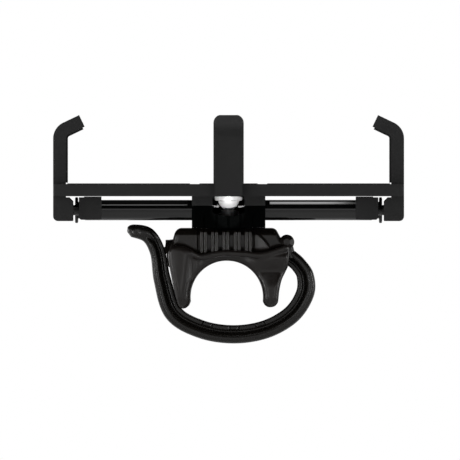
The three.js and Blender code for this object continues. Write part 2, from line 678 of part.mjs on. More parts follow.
// A claw's side outline between two offsets from its outer face: up the leg, round the bend
// and along the hook. The outline's x runs inward from the outer face.
function clawOutline(outer, inner, bottom, shortening) {
  const turn = Math.PI / 2 + HOOK_RISE;
  const along = new THREE.Vector2(Math.cos(HOOK_RISE), Math.sin(HOOK_RISE));
  const reach = HOOK_LENGTH - shortening;
  const tipOf = (offset) => {
    const radius = BEND_RADIUS - offset;
    const end = new THREE.Vector2(Math.cos(turn), Math.sin(turn)).multiplyScalar(radius);
    return end.add(new THREE.Vector2(BEND_RADIUS, BEND_HEIGHT)).addScaledVector(along, reach);
  };
  const shape = new THREE.Shape();
  shape.moveTo(outer, bottom);
  shape.lineTo(outer, BEND_HEIGHT);
  shape.absarc(BEND_RADIUS, BEND_HEIGHT, BEND_RADIUS - outer, Math.PI, turn, true);
  shape.lineTo(tipOf(outer).x, tipOf(outer).y);
  shape.lineTo(tipOf(inner).x, tipOf(inner).y);
  shape.absarc(BEND_RADIUS, BEND_HEIGHT, BEND_RADIUS - inner, turn, Math.PI, false);
  shape.lineTo(inner, bottom);
  shape.closePath();
  return shape;
}

// The height of a claw's highest edge, where its hook ends.
function frontClawTop() {
  return BEND_HEIGHT + BEND_RADIUS * Math.cos(HOOK_RISE) + HOOK_LENGTH * Math.sin(HOOK_RISE) + 0.1;
}

// A claw strip in its own frame: outer face at x = 0, centred on y = 0.
function clawStrip(outer, inner, bottom, shortening, width) {
  return alongY(clawOutline(outer, inner, bottom, shortening), -width / 2, width / 2, 7);
}

// Turns and moves a claw strip to the tray's front edge, hook to the back.
function toFront(strip) {
  return strip.rotate([0, 0, 90]).translate([0, -TRAY_HALF_DEPTH - CLAW_FULL, 0]);
}

function frontTongue(play) {
  const half = CLAW_WIDTH / 2 - FRONT_CLAW_WAIST + play;
  const inner = -TRAY_HALF_DEPTH + TONGUE_LENGTH + play;
  const outer = -TRAY_HALF_DEPTH - LINER_THICKNESS - 0.2;
  return box(-half, half, outer, inner, TRAY_BOTTOM, TRAY_BOTTOM + TONGUE_THICKNESS + play);
}

function frontClaw() {
  const width = CLAW_WIDTH;
  const upper = clawStrip(0, CLAW_THICKNESS, TRAY_TOP, 0, width);
  const lower = clawStrip(0, CLAW_THICKNESS, TRAY_BOTTOM, 0, width - 2 * FRONT_CLAW_WAIST);
  const waist = width / 2 - FRONT_CLAW_WAIST;
  const foot = box(0, CLAW_FULL - SEAT, -waist, waist, TRAY_BOTTOM, TRAY_TOP);
  const face = rectangle(-width / 2, width / 2, TRAY_BOTTOM - 5, frontClawTop(), FRONT_CLAW_ROUND);
  const round = alongY(face, -TRAY_HALF_DEPTH - 10, -TRAY_HALF_DEPTH + 10);
  let claw = toFront(upper.add(lower).add(foot)).intersect(round).add(frontTongue(0));
  for (const x of clawScrewPlaces) {
    claw = claw.subtract(thinZ(CLAW_SCREW_RADIUS + SEAT, TRAY_BOTTOM - 1, TRAY_TOP, x, CLAW_SCREW_Y));
    const top = TRAY_BOTTOM + CLAW_HEAD_LENGTH;
    claw = claw.subtract(thinZ(CLAW_HEAD_RADIUS + SEAT, TRAY_BOTTOM - 1, top, x, CLAW_SCREW_Y));
  }
  return claw;
}

function frontLiner() {
  const bottom = TRAY_TOP + SEAT;
  const width = CLAW_WIDTH - 0.6;
  return toFront(clawStrip(CLAW_THICKNESS, CLAW_FULL, bottom, LINER_SHORT + 0.8, width));
}

function clawScrew(x) {
  const bottom = TRAY_BOTTOM + 0.1;
  const head = thinZ(CLAW_HEAD_RADIUS, bottom, TRAY_BOTTOM + CLAW_HEAD_LENGTH, x, CLAW_SCREW_Y);
  return head.add(thinZ(CLAW_SCREW_RADIUS, bottom, CLAW_SCREW_TIP, x, CLAW_SCREW_Y));
}

// ---------------------------------------------------------------- jaws, drawn for the right side

const tiePlaces = [-TIE_SPACING / 2, TIE_SPACING / 2];

// Puts a claw strip on the right jaw, hook to the left, at one of the two tray slots.
function toRightJaw(strip, y) {
  return strip.mirror([1, 0, 0]).translate([TRAY_HALF_LENGTH, y, 0]);
}

// A guide rod's bore, open at the bottom where the block is too shallow to close round it.
function rodBore(x0, x1, y) {
  const bore = cylinderX(ROD_RADIUS + RUNNING, x0, x1, y, DRIVE_HEIGHT);
  return bore.add(box(x0, x1, y - BORE_MOUTH / 2, y + BORE_MOUTH / 2, DRIVE_HEIGHT - 6, DRIVE_HEIGHT));
}

function endBlock() {
  const top = TRAY_BOTTOM - END_BLOCK_GAP;
  const side = outline([
    [END_BLOCK_INNER, END_BLOCK_BOTTOM, 0.3],
    [TRAY_HALF_LENGTH, END_BLOCK_BOTTOM, 1.5],
    [TRAY_HALF_LENGTH, top],
    [END_BLOCK_INNER + 1.2, top],
    [END_BLOCK_INNER, top - 1.2],
  ]);
  let block = alongY(side, -JAW_HALF_DEPTH, JAW_HALF_DEPTH);
  const x0 = END_BLOCK_INNER - 1;
  const x1 = TRAY_HALF_LENGTH + 1;
  for (const y of slotPlaces) {
    block = block.add(toRightJaw(clawStrip(0, CLAW_THICKNESS, END_BLOCK_BOTTOM + 3, 0, CLAW_WIDTH), y));
  }
  for (const y of rodPlaces) {
    block = block.subtract(rodBore(x0, x1, y));
  }
  block = block.subtract(cylinderX(LEAD_RADIUS + RUNNING, x0, x1, 0, DRIVE_HEIGHT, SMALL_ROUND));
  for (const y of tiePlaces) {
    block = block.subtract(cylinderX(TIE_RADIUS + SEAT, x0, x1, y, DRIVE_HEIGHT, SMALL_ROUND));
    const from = TRAY_HALF_LENGTH - TIE_HEAD_LENGTH;
    block = block.subtract(cylinderX(TIE_HEAD_RADIUS + SEAT, from, x1, y, DRIVE_HEIGHT, SMALL_ROUND));
  }
  return block;
}

function slideBlock() {
  const top = TRAY_BOTTOM - RUNNING;
  const side = outline([
    [SLIDE_INNER, SLIDE_BLOCK_BOTTOM + 0.1],
    [SLIDE_INNER + 2.5, SLIDE_BLOCK_BOTTOM],
    [SLIDE_OUTER - 0.6, SLIDE_BLOCK_BOTTOM],
    [SLIDE_OUTER, SLIDE_BLOCK_BOTTOM + 0.6],
    [SLIDE_OUTER, TRAY_BOTTOM - END_BLOCK_GAP],
    [SLIDE_OUTER - 1.6, TRAY_BOTTOM - END_BLOCK_GAP],
    [SLIDE_OUTER - 1.6, top],
    [SLIDE_INNER, top],
  ]);
  let block = alongY(side, -SLIDE_HALF_DEPTH, SLIDE_HALF_DEPTH);
  const x0 = SLIDE_INNER - 1;
  const x1 = SLIDE_OUTER + 1;
  for (const y of rodPlaces) {
    block = block.subtract(rodBore(x0, x1, y));
  }
  const sleeveEnd = DISC_INNER - SLEEVE_LENGTH - DISC_PLAY;
  block = block.subtract(cylinderX(SLEEVE_RADIUS + RUNNING, sleeveEnd, x1, 0, DRIVE_HEIGHT));
  block = block.subtract(cylinderX(LEAD_RADIUS + RUNNING, x0, x1, 0, DRIVE_HEIGHT, SMALL_ROUND));
  for (const y of tiePlaces) {
    block = block.subtract(cylinderX(TIE_RADIUS + SEAT, SLIDE_INNER + 1, x1, y, DRIVE_HEIGHT, SMALL_ROUND));
  }
  return block;
}

function clawLiner(y) {
  const strip = clawStrip(CLAW_THICKNESS, CLAW_FULL, TRAY_TOP + 0.4, LINER_SHORT, CLAW_WIDTH - 0.6);
  return toRightJaw(strip, y);
}

function tieScrew(y) {
  const tip = SLIDE_INNER + 1.2;
  const headTo = TRAY_HALF_LENGTH - 0.1;
  const headFrom = TRAY_HALF_LENGTH - TIE_HEAD_LENGTH + SEAT;
  const head = cylinderX(TIE_HEAD_RADIUS, headFrom, headTo, y, DRIVE_HEIGHT, SMALL_ROUND);
  return head.add(cylinderX(TIE_RADIUS, tip, headTo, y, DRIVE_HEIGHT, SMALL_ROUND));
}

// The nut on the lead screw: a toothed disc between the two blocks, with a threaded sleeve
// that turns in the slide block.
function thumbNut() {
  const rim = new THREE.Shape();
  const step = Math.PI / DISC_TEETH;
  for (let index = 0; index < 2 * DISC_TEETH; index += 1) {
    const radius = DISC_RADIUS - (index % 2) * DISC_TOOTH;
    const move = index === 0 ? 'moveTo' : 'lineTo';
    rim[move](radius * Math.cos(index * step), radius * Math.sin(index * step));
  }
  rim.closePath();
  const disc = alongX(rim, DISC_INNER, DISC_OUTER).translate([0, 0, DRIVE_HEIGHT]);
  const sleeve = cylinderX(SLEEVE_RADIUS, DISC_INNER - SLEEVE_LENGTH, DISC_OUTER, 0, DRIVE_HEIGHT);
  const thread = cylinderX(LEAD_RADIUS + RUNNING, SLIDE_INNER, END_BLOCK_INNER, 0, DRIVE_HEIGHT, SMALL_ROUND);
  return disc.add(sleeve).subtract(thread);
}

// ---------------------------------------------------------------- strap

// The strap's middle line from its pull tab, down past the catch, under the handlebar and up
// to its root beside the anchor pin.
const strapLine = new THREE.SplineCurve([
  new THREE.Vector2(-29.1, 20.5),
  new THREE.Vector2(-24.3, 19),
  new THREE.Vector2(-21.3, 13.7),
  new THREE.Vector2(-19.9, 5),
  new THREE.Vector2(-16.4, -5.1),
  new THREE.Vector2(-8, -10),
  new THREE.Vector2(DRAWN_FLEX_X, -11.6),
  new THREE.Vector2(13, -9.7),
  new THREE.Vector2(21.4, -4),
  new THREE.Vector2(24.7, 3.2),
  new THREE.Vector2(22.9, 9.8),
].map((point) => point.multiplyScalar(BAR_SCALE)));

// The strap's thickness along its middle line: thin at the tab, full round the handlebar.
function strapThickness(t) {
  const { smoothstep } = THREE.MathUtils;
  const flank = STRAP_TAB + (STRAP_FLANK - STRAP_TAB) * smoothstep(t, 0.04, 0.2);
  const loop = flank + (STRAP_LOOP - STRAP_FLANK) * smoothstep(t, 0.36, 0.5);
  return loop + (STRAP_ROOT - STRAP_LOOP) * smoothstep(t, 0.75, 0.92);
}

function strapOutline(play = 0, steps = 44) {
  const outer = [];
  const inner = [];
  for (let step = 0; step <= steps; step += 1) {
    const t = step / steps;
    const point = strapLine.getPoint(t);
    const tangent = strapLine.getTangent(t);
    const normal = new THREE.Vector2(-tangent.y, tangent.x);
    const half = strapThickness(t) / 2 + play;
    inner.push(point.clone().addScaledVector(normal, half));
    outer.push(point.clone().addScaledVector(normal, -half));
  }
  const start = strapLine.getPoint(0);
  const back = strapLine.getTangent(0).negate().angle();
  const shape = new THREE.Shape();
  shape.moveTo(outer[steps].x, outer[steps].y);
  outer.slice(0, steps).reverse().forEach((point) => shape.lineTo(point.x, point.y));
  shape.absarc(start.x, start.y, STRAP_TAB / 2 + play, back + Math.PI / 2, back - Math.PI / 2, true);
  inner.slice(1).forEach((point) => shape.lineTo(point.x, point.y));
  shape.closePath();
  return shape;
}

// A pocket for the catch in the strap's inner face, at a place on its middle line.
function strapHole(t) {
  const point = strapLine.getPoint(t);
  const angle = THREE.MathUtils.radToDeg(strapLine.getTangent(t).angle());
  const half = strapThickness(t) / 2;
  const [along, across] = [HOLE_LENGTH / 2, HOLE_WIDTH / 2];
  const pocket = box(-along, along, -across, across, half - HOLE_DEPTH, half + 1);
  return pocket.rotate([0, -angle, 0]).translate([point.x, 0, point.y]);
}

function wholeStrap() {
  let strap = alongY(strapOutline(), -STRAP_WIDTH / 2, STRAP_WIDTH / 2);
  for (const t of [0.36, 0.46, 0.56, 0.7, 0.78]) {
    strap = strap.subtract(strapHole(t));
  }
  return strap;
}

function strapTail() {
  const side = box(-60, FLEX_X - FLEX_GAP / 2, -20, 20, -40, 40);
  const slot = box(-25, -18, -HOLE_WIDTH / 2, HOLE_WIDTH / 2, 12.9, 18);
  return wholeStrap().intersect(side).subtract(toBar(slot));
}

function strapRoot() {
  const side = box(FLEX_X + FLEX_GAP / 2, 60, -20, 20, -40, 40);
  const half = STRAP_WIDTH / 2;
  const root = toBar(alongY(outline([
    [ROOT_FLANK, ROOT_FOOT],
    [22.4, 6.2],
    [24.5, 9.4],
    [23.2, 12.5, 2],
    [20.9, 14.6],
    [20.6, 17],
    [18.6, 17],
    [ROOT_FLANK, 14.6],
  ]), -half, half));
  const eye = cylinderY(EYE_RADIUS, -half, half, EYE.x, EYE.y);
  const bore = cylinderY(PIN_RADIUS + RUNNING, -half - 1, half + 1, EYE.x, EYE.y, SMALL_ROUND);
  return wholeStrap().intersect(side).add(root).add(eye).subtract(bore);
}

// ---------------------------------------------------------------- assembly

const mount = new THREE.Group();
mount.add(meshOf('mount_body', mountBody(), MOULDED));
mount.add(meshOf('bar_saddle', barSaddle(), RUBBER));
mount.add(meshOf('pivot_post', pivotPost(), BLACK_STEEL));
mount.add(meshOf('pivot_ball', pivotBall(), BRIGHT_STEEL));
mount.add(meshOf('pivot_screw', pivotScrew(), BLACK_STEEL));
mount.add(meshOf('friction_washer', frictionWasher(), BLACK_STEEL));
mount.add(meshOf('strap_hook', strapHook(), MOULDED));
mount.add(meshOf('anchor_pin', eyePin(0), BLACK_STEEL));
saddleScrewPlaces.forEach((y, index) => {
  mount.add(meshOf(`saddle_screw_${index + 1}`, saddleScrew(y), BLACK_STEEL));
});

const strap = new THREE.Group();
strap.add(meshOf('strap_root', strapRoot(), RUBBER));
strap.add(meshOf('strap_tail', strapTail(), RUBBER));

const head = new THREE.Group();
head.position.x = PIVOT_X;
head.add(meshOf('tray', tray(), ANODISED));
for (const [name, span] of Object.entries(pads)) {
  head.add(meshOf(name, trayPad(span), SILICONE));
}
head.add(meshOf('front_claw', frontClaw(), ANODISED));
head.add(meshOf('front_claw_liner', frontLiner(), SILICONE));
clawScrewPlaces.forEach((x, index) => {
  head.add(meshOf(`claw_screw_${index + 1}`, clawScrew(x), BLACK_STEEL));
});
head.add(meshOf('hub_block', hubBlock(), ANODISED));
head.add(meshOf('hub_housing', hubHousing(), MOULDED));
head.add(meshOf('ball_retainer', ballRetainer(), BLACK_STEEL));
head.add(meshOf('thrust_washer', thrustWasher(), BRIGHT_STEEL));
hubScrewPlaces.forEach((place, index) => {
  head.add(meshOf(`hub_screw_${index + 1}`, hubScrew(place), BLACK_STEEL));
});
for (const [name, place] of Object.entries(rods)) {
  head.add(meshOf(name, guideRod(place), GLOSS_BLACK));
}
head.add(meshOf('left_lead_screw', leadScrew(-1), BLACK_STEEL));
head.add(meshOf('right_lead_screw', leadScrew(1), BLACK_STEEL));

// Both jaws are the right one, the left one mirrored in the swivel axis.
for (const side of ['left', 'right']) {
  const place = (solid) => (side === 'left' ? solid.mirror([1, 0, 0]) : solid);
  head.add(meshOf(`${side}_end_block`, place(endBlock()), ANODISED));
  head.add(meshOf(`${side}_slide_block`, place(slideBlock()), MOULDED));
  head.add(meshOf(`${side}_front_liner`, place(clawLiner(slotPlaces[0])), SILICONE));
  head.add(meshOf(`${side}_rear_liner`, place(clawLiner(slotPlaces[1])), SILICONE));
  head.add(meshOf(`${side}_thumb_nut`, place(thumbNut()), BLACK_STEEL));
  tiePlaces.forEach((y, index) => {
    head.add(meshOf(`${side}_tie_screw_${index + 1}`, place(tieScrew(y)), BLACK_STEEL));
  });
}

const assembly = new THREE.Group();
assembly.add(mount, strap, head);

export default assembly;
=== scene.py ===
"""The look of the phone handlebar mount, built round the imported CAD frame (metres, +Z up)."""

import math

import bpy
import numpy as np
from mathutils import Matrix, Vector


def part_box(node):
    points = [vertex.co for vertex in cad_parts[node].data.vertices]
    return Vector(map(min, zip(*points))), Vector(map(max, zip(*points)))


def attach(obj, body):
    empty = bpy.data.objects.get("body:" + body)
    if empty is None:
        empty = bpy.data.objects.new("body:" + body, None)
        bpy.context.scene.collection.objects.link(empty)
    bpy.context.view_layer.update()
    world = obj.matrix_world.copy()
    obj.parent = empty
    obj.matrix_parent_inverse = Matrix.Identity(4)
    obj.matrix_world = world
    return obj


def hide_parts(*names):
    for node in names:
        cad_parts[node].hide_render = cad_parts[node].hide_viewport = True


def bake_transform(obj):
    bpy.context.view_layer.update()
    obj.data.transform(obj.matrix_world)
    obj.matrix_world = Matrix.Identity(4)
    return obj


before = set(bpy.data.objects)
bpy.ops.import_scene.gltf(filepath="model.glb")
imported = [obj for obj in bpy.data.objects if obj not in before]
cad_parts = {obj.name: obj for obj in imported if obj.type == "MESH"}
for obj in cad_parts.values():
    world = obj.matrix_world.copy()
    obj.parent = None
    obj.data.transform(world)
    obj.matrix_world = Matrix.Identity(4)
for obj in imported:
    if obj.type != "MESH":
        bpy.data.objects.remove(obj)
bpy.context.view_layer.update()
MM = 0.001

# ---------------------------------------------------------------- materials


def material(name, colour, roughness, specular=0.5, metallic=0.0, tint=0.12, mottle=4.0,
             rough_spread=0.06, grain=0.3, relief=0.0):
    """A procedural finish: colour and roughness drift with broad noise (mottle, mm), and fine
    noise (grain, mm) lifts the surface by relief (mm)."""
    made = bpy.data.materials.new(name)
    made.use_nodes = True
    nodes, links = made.node_tree.nodes, made.node_tree.links
    shader = nodes["Principled BSDF"]
    place = nodes.new("ShaderNodeTexCoord")
    broad = nodes.new("ShaderNodeTexNoise")
    broad.inputs["Scale"].default_value = 1 / (mottle * MM)
    broad.inputs["Detail"].default_value = 3
    links.new(place.outputs["Object"], broad.inputs["Vector"])
    mix = nodes.new("ShaderNodeMix")
    mix.data_type = "RGBA"
    mix.inputs[6].default_value = [c * (1 - tint) for c in colour] + [1]
    mix.inputs[7].default_value = [c * (1 + tint) for c in colour] + [1]
    links.new(broad.outputs["Fac"], mix.inputs[0])
    links.new(mix.outputs[2], shader.inputs["Base Color"])
    fine = nodes.new("ShaderNodeTexNoise")
    fine.inputs["Scale"].default_value = 1 / (grain * MM)
    fine.inputs["Detail"].default_value = 2
    links.new(place.outputs["Object"], fine.inputs["Vector"])
    spread = nodes.new("ShaderNodeMapRange")
    spread.inputs["To Min"].default_value = roughness - rough_spread
    spread.inputs["To Max"].default_value = roughness + rough_spread
    links.new(fine.outputs["Fac"], spread.inputs["Value"])
    links.new(spread.outputs["Result"], shader.inputs["Roughness"])
    shader.inputs["Metallic"].default_value = metallic
    shader.inputs["Specular IOR Level"].default_value = specular
    if relief:
        bump = nodes.new("ShaderNodeBump")
        bump.inputs["Distance"].default_value = relief * MM
        links.new(fine.outputs["Fac"], bump.inputs["Height"])
        links.new(bump.outputs["Normal"], shader.inputs["Normal"])
    return made


ANODISED = material("anodised aluminium", (0.0165, 0.0165, 0.0165), 0.55, specular=0.12,
                    grain=0.12, relief=0.012)
HUB_BLACK = material("hub housing black", (0.0004, 0.0006, 0.0006), 0.6, specular=0.01,
                     grain=0.2, relief=0.01)
MOULDED = material("moulded plastic", (0.007, 0.0056, 0.0046), 0.3, specular=0.3, grain=0.25,
                   relief=0.02)
RUBBER = material("saddle rubber", (0.0068, 0.0052, 0.0044), 0.33, specular=0.3, grain=0.3,
                  relief=0.03)
STRAP = material("strap rubber", (0.0045, 0.0038, 0.003), 0.27, specular=0.3, grain=0.3,
                 relief=0.006)
SILICONE = material("silicone liner", (0.006, 0.006, 0.006), 0.7, specular=0.2, grain=0.2,
                    relief=0.02)
GLOSS = material("gloss black rod", (0.0012, 0.0012, 0.0012), 0.09, specular=0.5,
                 rough_spread=0.02, grain=1.5)
BALL_STEEL = material("half-ball steel", (0.95, 0.95, 0.95), 0.4, metallic=0.25, tint=0.02,
                      rough_spread=0.04, grain=0.25, relief=0.002)
BLACK_STEEL = material("black steel", (0.02, 0.02, 0.02), 0.34, specular=0.5, metallic=0.3,
                       grain=0.3, relief=0.004)
FLOOR = material("pale floor", (0.8, 0.8, 0.8), 0.85, specular=0.2, tint=0.01, mottle=200,
                 grain=5)

# ---------------------------------------------------------------- CAD nodes that are shown


def dress(name, finish, edge=0.2, steps=3):
    """Gives a CAD node its material and soft edges."""
    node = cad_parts[name]
    node.data.materials.clear()
    node.data.materials.append(finish)
    if edge:
        bevel = node.modifiers.new("edges", "BEVEL")
        bevel.width = edge * MM
        bevel.segments = steps
        bevel.limit_method = "ANGLE"
        bevel.angle_limit = math.radians(35)
        bevel.harden_normals = True
        bevel.use_clamp_overlap = True
    return node


SIDES = ("left", "right")
dress("tray", ANODISED, 0.25)
dress("front_claw", ANODISED, 0.22)
dress("hub_block", ANODISED, 0.2)
dress("hub_housing", HUB_BLACK, 0.06, 2)
dress("ball_retainer", BLACK_STEEL, 0.06, 2)
dress("friction_washer", HUB_BLACK, 0)
dress("anchor_pin", BLACK_STEEL, 0.2)
dress("strap_hook", MOULDED, 0.12)
for pad in ("left_tray_pad", "centre_tray_pad", "right_tray_pad"):
    dress(pad, SILICONE, 0.08, 2)
dress("front_claw_liner", SILICONE, 0.12, 2)
for side in SIDES:
    dress(side + "_end_block", ANODISED, 0.22)
    dress(side + "_slide_block", ANODISED, 0.15)
    dress(side + "_front_liner", SILICONE, 0.12, 2)
    dress(side + "_rear_liner", SILICONE, 0.12, 2)

# ---------------------------------------------------------------- mesh tools (millimetres)


def new_object(name, points, faces, finish, crease=None):
    """A shaded object from points in mm; crease is the angle past which edges stay sharp."""
    data = bpy.data.meshes.new(name)
    data.from_pydata((np.asarray(points, float) * MM).tolist(), [], faces)
    data.materials.append(finish)
    data.shade_smooth()
    if crease is not None:
        data.set_sharp_from_angle(angle=math.radians(crease))
    data.update()
    made = bpy.data.objects.new(name, data)
    bpy.context.scene.collection.objects.link(made)
    return made


def stand_for(made, body, slot, *nodes):
    """Lets an object ride on a body in place of CAD nodes."""
    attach(made, body)
    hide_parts(*nodes)
    return made


AXES = {
    "x": np.array([[0, 1, 0], [0, 0, 1], [1, 0, 0]], float),
    "y": np.array([[0, 0, 1], [1, 0, 0], [0, 1, 0]], float),
    "z": np.array([[1, 0, 0], [0, 1, 0], [0, 0, 1]], float),
}


def lathe(profile, centre, axis, segments=72, wave=None):
    """Points and faces of a solid of revolution. The profile is (radius, height) pairs; it either
    starts and ends on the axis or closes on itself. wave(angles, height, radius) is added to radii
    above 0."""
    frame_axes = AXES[axis]
    angles = 2 * math.pi * np.arange(segments) / segments
    points, rings = [], []
    for radius, height in profile:
        if radius == 0:
            rings.append([len(points)])
            points.append(height * frame_axes[2])
            continue
        radii = np.full(segments, float(radius))
        if wave:
            radii = radii + wave(angles, height, radius)
        rings.append(list(range(len(points), len(points) + segments)))
        ring = (radii * np.cos(angles))[:, None] * frame_axes[0]
        ring = ring + (radii * np.sin(angles))[:, None] * frame_axes[1] + height * frame_axes[2]
        points.extend(ring)
    pairs = list(zip(rings, rings[1:]))
    if len(rings[0]) > 1:
        pairs.append((rings[-1], rings[0]))
    faces = []
    for a, b in pairs:
        for k in range(segments):
            n = (k + 1) % segments
            if len(a) == 1:
                faces.append((a[0], b[n], b[k]))
            elif len(b) == 1:
                faces.append((a[k], a[n], b[0]))
            else:
                faces.append((a[k], a[n], b[n], b[k]))
    return np.array(points) + np.array(centre, float), faces


def joined(*solids):
    """Several point and face sets as one."""
    points, faces, count = [], [], 0
    for more_points, more_faces in solids:
        points.append(np.asarray(more_points, float))
        faces.extend(tuple(i + count for i in face) for face in more_faces)
        count += len(more_points)
    return np.concatenate(points), faces


def span(name):
    """A CAD node's box in mm: (low x, y, z), (high x, y, z)."""
    node_low, node_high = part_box(name)
    return np.array(node_low) / MM, np.array(node_high) / MM


# ---------------------------------------------------------------- turned pieces

TURNED_CREASE = 32


def turned_piece(name, profile, centre, axis, finish, body, slot, node, segments=72, wave=None):
    """A solid of revolution in place of one CAD node."""
    made = new_object(name, *lathe(profile, centre, axis, segments, wave), finish, TURNED_CREASE)
    return stand_for(made, body, slot, node)


def make_rod(node):
    """A guide rod with chamfered ends."""
    rod_low, rod_high = span(node)
    radius = (rod_high[2] - rod_low[2]) / 2
    middle = (rod_low + rod_high) / 2
    half = (rod_high[0] - rod_low[0]) / 2
    chamfer = 0.4
    profile = [(0, -half), (radius - chamfer, -half), (radius, -half + chamfer),
               (radius, half - chamfer), (radius - chamfer, half), (0, half)]
    turned_piece(node + "_fine", profile, middle, "x", GLOSS, "head", "gloss_black_rod", node, 96)


for rod in [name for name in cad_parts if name.endswith("_rod")]:
    make_rod(rod)

THREAD_LEAD = 3.0
THREAD_STARTS = 3
THREAD_DEPTH = 0.22


def make_lead_screw(side):
    """A three-start lead screw, threaded along its whole length."""
    node = side + "_lead_screw"
    screw_low, screw_high = span(node)
    radius = (screw_high[2] - screw_low[2]) / 2
    middle = (screw_low + screw_high) / 2
    half = (screw_high[0] - screw_low[0]) / 2
    heights = np.arange(-half, half, 0.125)

    def thread(angles, height, _radius):
        """How far the groove lies below the crest."""
        turn = THREAD_STARTS * angles / (2 * math.pi) - height * THREAD_STARTS / THREAD_LEAD
        saw = np.abs((turn % 1) * 2 - 1)
        return -THREAD_DEPTH * np.clip(saw * 1.6 - 0.3, 0, 1)

    profile = [(0, -half)] + [(radius, h) for h in heights] + [(radius - 0.1, half), (0, half)]
    turned_piece(node + "_fine", profile, middle, "x", BLACK_STEEL, "head", "black_steel", node,
                 36, thread)


KNURLS, KNURL_DEPTH = 30, 0.2
NUT_RIM, NUT_SLEEVE, NUT_BORE, DISC_THICKNESS = 4.02, 2.6, 1.68, 1.0


def make_thumb_nut(side):
    """The toothed disc and its sleeve."""
    node = side + "_thumb_nut"
    nut_low, nut_high = span(node)
    middle = (nut_low + nut_high) / 2
    out = -1 if side == "left" else 1
    sleeve_end = (nut_low[0] if out > 0 else -nut_high[0])
    outer = (nut_high[0] if out > 0 else -nut_low[0])
    inner = outer - DISC_THICKNESS
    heights = [(NUT_BORE, sleeve_end), (NUT_SLEEVE, sleeve_end), (NUT_SLEEVE, inner),
               (NUT_RIM - 0.4, inner), (NUT_RIM, inner + 0.18), (NUT_RIM, outer - 0.18),
               (NUT_RIM - 0.4, outer), (NUT_BORE, outer)]
    profile = [(radius, height * out) for radius, height in heights]
    if out < 0:
        profile = profile[::-1]

    def knurl(angles, _height, radius):
        if radius < NUT_RIM - 0.1:
            return 0 * angles
        return -KNURL_DEPTH * (0.5 - 0.5 * np.cos(KNURLS * angles)) ** 0.7

    turned_piece(node + "_fine", profile, (0, middle[1], middle[2]), "x", BLACK_STEEL,
                 side + "_nut", "black_steel", node, 240, knurl)


for side in SIDES:
    make_lead_screw(side)
    make_thumb_nut(side)

post_low, post_high = span("pivot_post")
PIVOT_X = (post_low[0] + post_high[0]) / 2
SHOULDER = span("friction_washer")[0][2]
BALL_RADIUS, BALL_RISE = 3.28, 3.05
POST_BORE, POST_SPIGOT, POST_NECK = 1.28, 4.0, 2.35
WASHER_BORE = 5.3
HAIR = 0.01  # what a finer piece keeps inside its CAD box


def make_post():
    """The post: spigot in the mount, shoulder, cone and neck, bored for the pivot screw."""
    foot, top, radius = post_low[2], post_high[2], post_high[0] - PIVOT_X
    rounding = 0.15
    cone = top - radius + POST_NECK
    profile = [(POST_BORE, foot), (POST_SPIGOT, foot), (POST_SPIGOT, SHOULDER), (radius, SHOULDER),
               (radius, cone - 2 * rounding - 0.05), (radius - rounding, cone),
               (POST_NECK, top - rounding), (POST_NECK - rounding, top - 2 * HAIR),
               (POST_BORE, top - 2 * HAIR)]
    turned_piece("post_fine", profile, (PIVOT_X, 0, 0), "z", BLACK_STEEL, "mount", "black_steel",
                 "pivot_post")


def make_half_ball(steps=32):
    """The bright half-ball on the post, flat side up."""
    centre, foot = post_high[2] + BALL_RISE, post_high[2] + 2 * HAIR
    top = span("pivot_ball")[1][2] - 2 * HAIR
    start, end = (math.asin((height - centre) / BALL_RADIUS) for height in (foot, top))
    profile = [(0, foot)]
    for step in range(steps + 1):
        angle = start + (end - start) * step / steps
        profile.append((BALL_RADIUS * math.cos(angle), centre + BALL_RADIUS * math.sin(angle)))
    profile.append((0, top))
    turned_piece("half_ball_fine", profile, (PIVOT_X, 0, 0), "z", BALL_STEEL, "mount",
                 "bright_steel", "pivot_ball", 96)


def make_washers():
    """The thrust washer on the half-ball and the friction washer under the hub."""
    low, high = span("thrust_washer")
    bottom, top, radius, chamfer = low[2] + HAIR, high[2] - HAIR, high[1] - HAIR, 0.15
    profile = [(0, bottom), (radius - chamfer, bottom), (radius, bottom + chamfer),
               (radius, top - chamfer), (radius - chamfer, top), (0, top)]
    turned_piece("thrust_washer_fine", profile, (PIVOT_X, 0, 0), "z", BALL_STEEL, "head",
                 "bright_steel", "thrust_washer", 96)
    radius = span("friction_washer")[1][1]
    top = span("hub_housing")[0][2] - HAIR / 10
    ring = [(WASHER_BORE, SHOULDER), (radius, SHOULDER), (radius, top), (WASHER_BORE, top)]
    turned_piece("friction_washer_fine", ring, (PIVOT_X, 0, 0), "z", HUB_BLACK, "mount",
                 "black_steel", "friction_washer", 96)


make_post()
make_half_ball()
make_washers()


SOCKET_DEPTH = 0.6  # of the head's height


def socket_head(top, height, radius, socket, axis, centre, flip, sides=6):
    """A screw head with a hexagonal socket in its outer end; flip is the outward direction."""
    foot, floor, chamfer = top - flip * height, top - flip * height * SOCKET_DEPTH, 0.2
    profile = [(0, foot), (radius, foot), (radius, top - flip * chamfer), (radius - chamfer, top),
               (socket, top), (socket, floor), (0, floor)]

    def hexagon(angles, _height, at_radius):
        if at_radius != socket:
            return 0 * angles
        sector = (angles + math.pi / sides) % (2 * math.pi / sides) - math.pi / sides
        return socket * (math.cos(math.pi / sides) / np.cos(sector) - 1)

    return lathe(profile[::flip], centre, axis, 48, hexagon)


